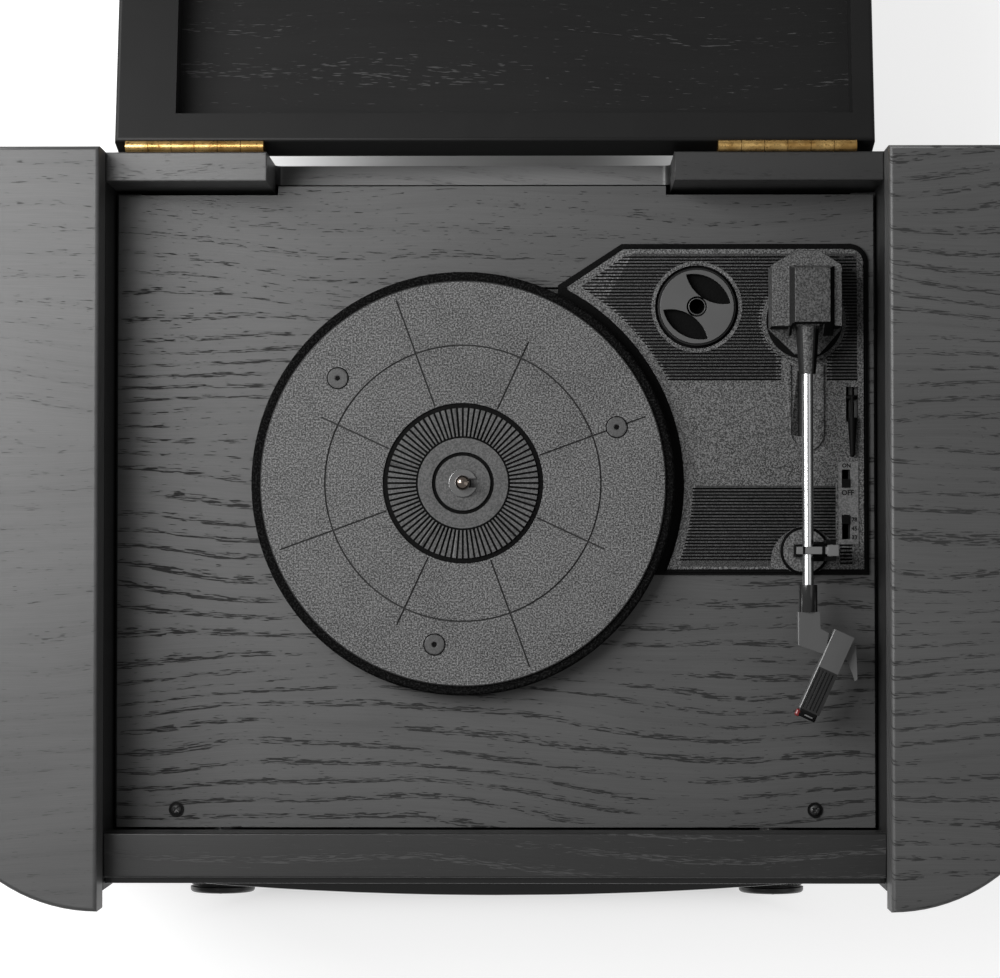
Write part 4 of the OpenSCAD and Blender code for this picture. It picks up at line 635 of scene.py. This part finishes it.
def body_of_node(name):
    """The body that a CAD node moves with."""
    for body, members in frame["record"]["behaviour"]["bodies"].items():
        if name in members:
            return body
    return None


def eased(name, width):
    """A copy of a CAD node with its sharp edges rounded, shown in the node's place."""
    copy = duplicate_of(nodes[name], name + "_eased")
    bpy.ops.object.mode_set(mode="EDIT")
    bpy.ops.mesh.select_all(action="SELECT")
    bpy.ops.mesh.remove_doubles(threshold=MERGE_DISTANCE * MM)
    bpy.ops.mesh.dissolve_limited(angle_limit=math.radians(FLAT_ANGLE))
    bpy.ops.object.mode_set(mode="OBJECT")
    if width:
        rounding = copy.modifiers.new("rounding", "BEVEL")
        rounding.width = width * MM
        rounding.segments = 2
        rounding.limit_method = "ANGLE"
        rounding.angle_limit = math.radians(ROUNDED_ANGLE)
        rounding.use_clamp_overlap = True
        bpy.ops.object.modifier_apply(modifier=rounding.name)
    shade_evenly(copy)
    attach(copy, body_of_node(name))
    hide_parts(name)
    return copy


pieces = {name: eased(name, width) for name, width in EASED.items()}


# Second tones

# A face looks up, or to a side, where its normal has at least this share of the direction
UPWARD = 0.9
SIDEWARD = 0.45

# Levels, lines and limits on the pieces
PLATE_TOP = 161.5
LEVEL_PLAY = 0.02
ARM_SLOT_X = (138, 162)
ARM_SLOT_Y = (-142, -98)
ARM_SLOT_FLOOR = (159, 160.8)
LABEL_LINE_DEPTH = 0.2
MAT_LINE_DEPTH = 0.15
ADAPTER_WELL_DEPTH = 0.7
BUTTON_DIMPLE = 174.2
NOTCH_FLOOR = (130, 140)
SCREW_HEAD_BASE = 159
ARM_X = 150
TURRET_STRIP_Y = (-84.3, -78)
TURRET_STRIP_Z = (169, 169.6)
SLEEVE_BACK = -86
BASE_GROOVE = 166
COVER_SKIRT = 188
COVER_RIDGE = 193
REST_POST_BACK = -199.2
REST_POST_FOOT = 165
LATCH_STRIPES = ((147.2, 148.4), (156.4, 158.0))


def within(value, limits):
    """Whether a value lies between two limits."""
    return limits[0] < value < limits[1]


def second_tone(name, finish, picks):
    """Gives another finish to the faces that the rule picks by centre and normal."""
    mesh = pieces[name].data
    mesh.materials.append(finish)
    slot = len(mesh.materials) - 1
    for face in mesh.polygons:
        if picks(face.center / MM, face.normal):
            face.material_index = slot


def sunk_by(name, depth):
    """A rule for the faces that lie deeper than this below a piece's top."""
    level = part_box(name)[1][2] / MM - depth
    return lambda centre, normal: centre.z < level


def over_arm_slot(centre):
    """Whether a place lies over the slot in which the arm's lift moves."""
    return within(centre.x, ARM_SLOT_X) and within(centre.y, ARM_SLOT_Y)


def is_plate_groove(centre, normal):
    """All of the plate below its top, but for the edge of the arm's slot."""
    on_slot_edge = over_arm_slot(centre) and centre.z > ARM_SLOT_FLOOR[1]
    return centre.z < PLATE_TOP - LEVEL_PLAY and not on_slot_edge


second_tone("mechanism_plate", SHADOW_BLACK, is_plate_groove)
# Painted shade on the floor of the arm's slot
second_tone("mechanism_plate", SLOT_FLOOR_SHADE,
            lambda centre, normal: over_arm_slot(centre) and within(centre.z, ARM_SLOT_FLOOR))
second_tone("label_ring", SHADOW_BLACK, sunk_by("label_ring", LABEL_LINE_DEPTH))
# Painted shade in the mat's sunk lines
second_tone("platter_mat", MAT_GROOVE_SHADE, sunk_by("platter_mat", MAT_LINE_DEPTH))
# Painted shade in the adapter's sunk parts
second_tone("adapter", ADAPTER_WELL_SHADE, sunk_by("adapter", ADAPTER_WELL_DEPTH))
second_tone("rubber_buttons", SHADOW_BLACK,
            lambda centre, normal: normal.z > UPWARD and centre.z < BUTTON_DIMPLE)
# Painted light: the back panel's top face in the notch takes the pale oak
second_tone("back_panel", NOTCH_PAINTED_LIGHT_OAK,
            lambda centre, normal: normal.z > UPWARD and within(centre.z, NOTCH_FLOOR))
second_tone("deck_screws", SCREW_HEAD,
            lambda centre, normal: normal.z > 0.5 and centre.z > SCREW_HEAD_BASE)

cut_across(pieces["arm_turret"], (ARM_X, TURRET_STRIP_Y[0], TURRET_STRIP_Z[0]), (0, 1, 0))
second_tone("arm_turret", SHADOW_BLACK,
            lambda centre, normal: normal.z > UPWARD and within(centre.y, TURRET_STRIP_Y)
            and within(centre.z, TURRET_STRIP_Z))
# Painted shade on the sleeve's sides, and black painted shadow on its right side
second_tone("arm_block", FACET_PAINTED_SHADE,
            lambda centre, normal: centre.y < SLEEVE_BACK and abs(normal.x) > SIDEWARD)
second_tone("arm_block", SHADOW_BLACK,
            lambda centre, normal: centre.y < SLEEVE_BACK and normal.x > 0.7)
second_tone("arm_base", SHADOW_BLACK,
            lambda centre, normal: normal.z > UPWARD and centre.z > BASE_GROOVE)
# Painted shade on the cover: black on its right and front faces, darker on its left faces
second_tone("arm_cover", SHADOW_BLACK,
            lambda centre, normal: normal.x > SIDEWARD or normal.y < -SIDEWARD)
second_tone("arm_cover", FACET_PAINTED_SHADE,
            lambda centre, normal: normal.x < -SIDEWARD and centre.z > COVER_SKIRT)
second_tone("arm_cover", COVER_TOP,
            lambda centre, normal: normal.z > UPWARD and centre.z > COVER_RIDGE)

cut_across(pieces["arm_rest"], (ARM_X, REST_POST_BACK, 164), (0, 1, 0))
second_tone("arm_rest", SHADOW_BLACK,
            lambda centre, normal: centre.z > REST_POST_FOOT or centre.y < REST_POST_BACK
            or 0.3 < normal.z < UPWARD)
for stripe in LATCH_STRIPES:
    for x in stripe:
        cut_across(pieces["arm_latch"], (x, -189.3, 188), (1, 0, 0))
shade_evenly(pieces["arm_latch"])
second_tone("arm_latch", SHADOW_BLACK,
            lambda centre, normal: any(within(centre.x, stripe) for stripe in LATCH_STRIPES))


# Headshell: the middle of its tail, its turn in the plan, and its sizes

TAIL = Vector((167.0, -228.88))
TURN = math.radians(24.5)
SHELL_WIDTH = 10.4
SHELL_LENGTH = 41.0
NOSE_LENGTH = 21.7
RIM_LEVEL = 186
COLLAR_FRONT = -218.6
NECK_FRONT = -219
LIFT_BACK = -232


def on_shell(spot):
    """How far a place lies along the headshell from its tail, and out to its left."""
    x, y = spot[0] - TAIL[0], spot[1] - TAIL[1]
    return (-x * math.sin(TURN) - y * math.cos(TURN), -x * math.cos(TURN) + y * math.sin(TURN))


def from_shell(along, out):
    """The place that lies so far along the headshell and so far out to its left."""
    return (TAIL[0] - along * math.sin(TURN) - out * math.cos(TURN),
            TAIL[1] - along * math.cos(TURN) + out * math.sin(TURN))


def leftward(normal):
    """How much a normal points to the headshell's left."""
    return -normal.x * math.cos(TURN) + normal.y * math.sin(TURN)


def is_left_edge(middle, normals):
    """The upper edges on the left of the neck and of the shell."""
    if len(normals) != 2 or middle.z < RIM_LEVEL + 0.9 or middle.y > NECK_FRONT:
        return False
    along, out = on_shell(middle)
    in_groove = 0.3 < along < SHELL_LENGTH - 0.3 and abs(out) < SHELL_WIDTH / 2 - 0.3
    flat, upright = sorted(normals, key=lambda normal: -normal.z)
    is_corner = flat.z > 0.9 and abs(upright.z) < 0.3 and leftward(upright) > 0.5
    return is_corner and not in_groove


def on_nose(centre, normal):
    """The upper faces of the nose, between its rims."""
    along, out = on_shell(centre)
    return (along > SHELL_LENGTH - NOSE_LENGTH and abs(out) < SHELL_WIDTH / 2 - 0.9
            and centre.z > RIM_LEVEL)


def on_left_rim(centre, normal):
    """The rounded faces of the left rim."""
    return (leftward(normal) > 0.2 and 0.2 < normal.z < 0.97 and centre.z > RIM_LEVEL
            and centre.y < NECK_FRONT)


def on_lift(centre, normal):
    """The finger lift on the right."""
    along, out = on_shell(centre)
    return out < -SHELL_WIDTH / 2 - 0.3 and 1 < along < 30 and centre.y < LIFT_BACK


shell = pieces["headshell"]
round_edges(shell, 0.6, is_left_edge)
cut_across(shell, (*from_shell(SHELL_LENGTH - NOSE_LENGTH, 0), 188),
           (math.sin(TURN), math.cos(TURN), 0))
shade_evenly(shell)
second_tone("headshell", LIFT_PLASTIC, on_lift)
second_tone("headshell", NOSE_PLASTIC, on_nose)
# Painted highlight on the rounded faces of the left rim
second_tone("headshell", EDGE_PAINTED_HIGHLIGHT, on_left_rim)
second_tone("headshell", COLLAR_GLOSS, lambda centre, normal: centre.y > COLLAR_FRONT)


# Small pieces

BAR_SMOOTH_ANGLE = 50.0
RING_SIDES = 64
# Height of a capital as a share of its font's size, and the thickness of print
CAPITAL_SHARE = 0.7
PRINT_THICKNESS = 0.03


def place_piece(piece, name, centre, turn, finish, body):
    """Puts a new piece in its place, turned in degrees, and lets it move with its body."""
    piece.name = name
    piece.location = Vector(centre) * MM
    piece.rotation_euler = [math.radians(angle) for angle in turn]
    select_only(piece)
    bpy.ops.object.transform_apply(location=True, rotation=True, scale=True)
    piece.data.materials.clear()
    piece.data.materials.append(finish)
    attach(piece, body)
    return piece


def rounded_bar(name, size, centre, turn, edge, finish, body):
    """A bar with rounded edges."""
    bpy.ops.object.select_all(action="DESELECT")
    bpy.ops.mesh.primitive_cube_add(size=1, location=(0, 0, 0))
    bar = bpy.context.view_layer.objects.active
    bar.scale = Vector(size) * MM
    bpy.ops.object.transform_apply(location=False, rotation=False, scale=True)
    bpy.ops.object.mode_set(mode="EDIT")
    bpy.ops.mesh.select_all(action="SELECT")
    bpy.ops.mesh.bevel(offset=edge * MM, segments=3, affect="EDGES", clamp_overlap=True)
    bpy.ops.object.mode_set(mode="OBJECT")
    bpy.ops.object.shade_smooth_by_angle(angle=math.radians(BAR_SMOOTH_ANGLE))
    return place_piece(bar, name, centre, turn, finish, body)


def lettering(name, words, height, centre, turn, finish, body, stroke=0.0):
    """Printed figures or letters, a hair thick, centred on their place."""
    bpy.ops.object.select_all(action="DESELECT")
    bpy.ops.object.text_add(location=(0, 0, 0))
    text = bpy.context.view_layer.objects.active
    text.data.body = words
    text.data.size = height / CAPITAL_SHARE * MM
    text.data.extrude = PRINT_THICKNESS * MM
    text.data.offset = stroke * MM
    text.data.align_x = "CENTER"
    text.data.align_y = "CENTER"
    text.data.resolution_u = 3
    bpy.ops.object.convert(target="MESH")
    printed = bpy.context.view_layer.objects.active
    return place_piece(printed, name, centre, turn, finish, body)


def flat_ring(name, inner, outer, height, centre, finish, body):
    """A low ring with a square section, from its inner to its outer radius."""
    bpy.ops.object.select_all(action="DESELECT")
    bpy.ops.mesh.primitive_cylinder_add(vertices=RING_SIDES, radius=outer * MM,
                                        depth=height * MM, location=(0, 0, 0))
    ring = bpy.context.view_layer.objects.active
    bpy.ops.object.mode_set(mode="EDIT")
    bpy.ops.mesh.select_mode(type="FACE")
    bpy.ops.mesh.select_all(action="DESELECT")
    bpy.ops.object.mode_set(mode="OBJECT")
    for face in ring.data.polygons:
        face.select = abs(face.normal.z) > UPWARD
    bpy.ops.object.mode_set(mode="EDIT")
    bpy.ops.mesh.inset(thickness=(outer - inner) * MM)
    bpy.ops.mesh.bridge_edge_loops()
    bpy.ops.object.mode_set(mode="OBJECT")
    bpy.ops.object.shade_smooth_by_angle(angle=math.radians(SMOOTH_ANGLE))
    return place_piece(ring, name, centre, (0, 0, 0), finish, body)


def repeat_piece(piece, name, shift, body):
    """A copy of a small piece, moved by the shift."""
    copy = duplicate_of(piece, name)
    copy.location = Vector(shift) * MM
    bpy.ops.object.transform_apply(location=True, rotation=False, scale=False)
    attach(copy, body)


# Nose of the headshell: the clip, its contact and the stylus' grip
NOSE_TURN = (0, 0, -math.degrees(TURN))
rounded_bar("nose_clip", (8.4, 5.4, 4.6), (*from_shell(SHELL_LENGTH + 1.0, -0.5), 183.4),
            NOSE_TURN, 0.5, SHADOW_BLACK, "arm")
rounded_bar("nose_contact", (4.2, 0.7, 0.4), (*from_shell(SHELL_LENGTH + 2.2, -1.0), 185.7),
            NOSE_TURN, 0.15, LATCH_GREY, "arm")
rounded_bar("stylus_grip", (2.6, 3.6, 3.4), (*from_shell(SHELL_LENGTH + 2.5, 4.3), 182.6),
            NOSE_TURN, 0.9, STYLUS_RED, "arm")

# Legends of the two switches: name, words, height of a capital, X and Y
LEGEND_LEVEL = 162.12
LEGENDS = (
    ("speed_78", "78", 1.9, 174.2, -174.2), ("speed_45", "45", 1.9, 174.2, -178.6),
    ("speed_33", "33", 1.9, 174.2, -182.8), ("stop_on", "ON", 1.9, 170.4, -148.0),
    ("stop_off", "OFF", 2.4, 171.0, -161.2),
)
for name, words, height, x, y in LEGENDS:
    lettering(name, words, height, (x, y, LEGEND_LEVEL), (0, 0, 0), DARK_LEGEND, "cabinet", 0.12)

# Thin black bar on the arm's rest, a painted shadow of its well
rounded_bar("rest_well_painted_shadow", (8.5, 9.5, 0.3), (155.6, -189.6, 164.66), (0, 0, 0), 0.1, SHADOW_BLACK,
            "cabinet")

# Black rings round the label and round the three buttons of the platter, as painted shade in the
# gaps there
SPINDLE_AT = (-15.5, -156.686)
BUTTON_CIRCLE = 79
BUTTON_ANGLES = (20, 140, 260)
flat_ring("label_gap_painted_shadow", 21.8, 22.4, 0.06, (*SPINDLE_AT, 174.12), SHADOW_BLACK, "platter")
button_spots = [Vector((SPINDLE_AT[0] + BUTTON_CIRCLE * math.cos(math.radians(angle)),
                        SPINDLE_AT[1] + BUTTON_CIRCLE * math.sin(math.radians(angle)), 173.64))
                for angle in BUTTON_ANGLES]
gap = flat_ring("button_gap_painted_shadow_0", 4.75, 5.4, 0.1, button_spots[0], SHADOW_BLACK, "platter")
for index in (1, 2):
    repeat_piece(gap, f"button_gap_painted_shadow_{index}", button_spots[index] - button_spots[0], "platter")

# Marks on the two knobs
KNOB_FRONT = -358.49
KNOB_MARKS = (("volume_knob", -136.5), ("tuning_knob", 136.5))
for body, x in KNOB_MARKS:
    rounded_bar(body + "_mark", (1.2, 0.4, 7), (x, KNOB_FRONT - 0.05, 121.5), (0, 0, 0), 0.15,
                LEGEND, body)

# Dial: two rows of numerals with a row of ticks between them
DIAL_FRONT = -348.74
DIAL_START = -62.5
NUMERAL_PITCH = 25
NUMERAL_HEIGHT = 4.2
NUMERAL_ROWS = ((121, ("88", "92", "96", "100", "104", "108")),
                (103, ("54", "65", "80", "100", "125", "160")))
TICK_LEVEL = 112
TICK_PITCH = 5
TICKS = 26
LONG_TICK = 3.4
SHORT_TICK = 2
for row, labels in NUMERAL_ROWS:
    for index, words in enumerate(labels):
        lettering(f"dial_{row}_{words}", words, NUMERAL_HEIGHT,
                  (DIAL_START + NUMERAL_PITCH * index, DIAL_FRONT, row), (90, 0, 0), LEGEND,
                  "cabinet", 0.1)
tick_models = {}
for index in range(TICKS):
    name = f"dial_tick_{index}"
    height = LONG_TICK if index % (NUMERAL_PITCH // TICK_PITCH) == 0 else SHORT_TICK
    if height in tick_models:
        first, tick = tick_models[height]
        repeat_piece(tick, name, (TICK_PITCH * (index - first), 0, 0), "cabinet")
    else:
        spot = (DIAL_START + TICK_PITCH * index, DIAL_FRONT, TICK_LEVEL)
        tick = rounded_bar(name, (0.5, 0.08, height), spot, (0, 0, 0), 0.02, LEGEND, "cabinet")
        tick_models[height] = (index, tick)


# Floor, light and camera, in metres

FLOOR_SIZE = 14.0
FLOOR_TONE = 0.45
# Places between which the floor's painted glow comes in, beside, in front of and behind the
# middle, so that near the object and through the notch the floor stays in shadow and painted shade
GLOW_BESIDE = (0.02, 0.19)
GLOW_BEFORE = (-0.335, -0.39)
GLOW_BEHIND = (0.06, 0.2)
GLOW_LEVELS = (0.03, 0.75)
LIGHT_AIM = (0, -0.15, 0.15)
WORLD_LEVEL = 0.28
CAMERA_PLACE = (0.02365, -0.2010, 1.870)
CAMERA_LENS = 126.6
CAMERA_SHIFT = -0.0368
CAMERA_LEAN = (2.0, 0.717)


def white_floor():
    """Pale floor that glows white to the camera away from the object, keeps a painted shade near
    it, and keeps the object's shadow.
    """
    bpy.ops.mesh.primitive_plane_add(size=FLOOR_SIZE, location=(0, 0, 0))
    floor = bpy.context.view_layer.objects.active
    floor.name = "floor"
    made, tree, shader = material("pale floor")
    shader.inputs["Base Color"].default_value = grey(FLOOR_TONE)
    shader.inputs["Roughness"].default_value = 0.9
    shader.inputs["Specular IOR Level"].default_value = 0.1
    rays = add(tree, "ShaderNodeLightPath").outputs
    seen = calc(tree, "MAXIMUM", rays["Is Camera Ray"],
                calc(tree, "MAXIMUM", rays["Is Glossy Ray"], rays["Is Transmission Ray"]))
    place = split(tree, object_place(tree))
    beside = ramp(tree, calc(tree, "ABSOLUTE", place["X"]), *GLOW_BESIDE)
    before = ramp(tree, place["Y"], *GLOW_BEFORE)
    behind = ramp(tree, place["Y"], *GLOW_BEHIND)
    open_floor = calc(tree, "MAXIMUM", calc(tree, "MAXIMUM", beside, before), behind)
    glow = ramp(tree, open_floor, 0.0, 1.0, *GLOW_LEVELS)
    shader.inputs["Emission Color"].default_value = grey(1.0)
    join(tree, calc(tree, "MULTIPLY", seen, glow), shader.inputs["Emission Strength"])
    floor.data.materials.append(made)


def soft_light(name, place, size, power):
    """A rectangular lamp that looks at the well, with its power in watts."""
    lamp = bpy.data.lights.new(name, "AREA")
    lamp.shape = "RECTANGLE"
    lamp.size, lamp.size_y = size
    lamp.energy = power
    holder = bpy.data.objects.new(name, lamp)
    bpy.context.scene.collection.objects.link(holder)
    holder.location = place
    holder.rotation_mode = "QUATERNION"
    aim = Vector(LIGHT_AIM) - Vector(place)
    holder.rotation_quaternion = aim.to_track_quat("-Z", "Y")


def camera():
    """Looks down from above the well, as the photograph does."""
    lens = bpy.data.cameras.new("camera")
    lens.sensor_width = 36.0
    lens.lens = CAMERA_LENS
    lens.shift_y = CAMERA_SHIFT
    holder = bpy.data.objects.new("camera", lens)
    bpy.context.scene.collection.objects.link(holder)
    holder.location = CAMERA_PLACE
    holder.rotation_euler = (*[math.radians(angle) for angle in CAMERA_LEAN], 0.0)
    bpy.context.scene.camera = holder


def even_world():
    """Plain grey light from all sides."""
    world = bpy.data.worlds.new("studio")
    world.use_nodes = True
    background = world.node_tree.nodes["Background"]
    background.inputs["Color"].default_value = grey(1.0)
    background.inputs["Strength"].default_value = WORLD_LEVEL
    bpy.context.scene.world = world


white_floor()
soft_light("window side light", (-0.62, 0.1, 0.98), (0.55, 0.9), 15)
soft_light("far side fill", (1.6, -0.5, 1.6), (1.4, 1.4), 3)
camera()
even_world()
bpy.context.scene.view_settings.view_transform = "Standard"
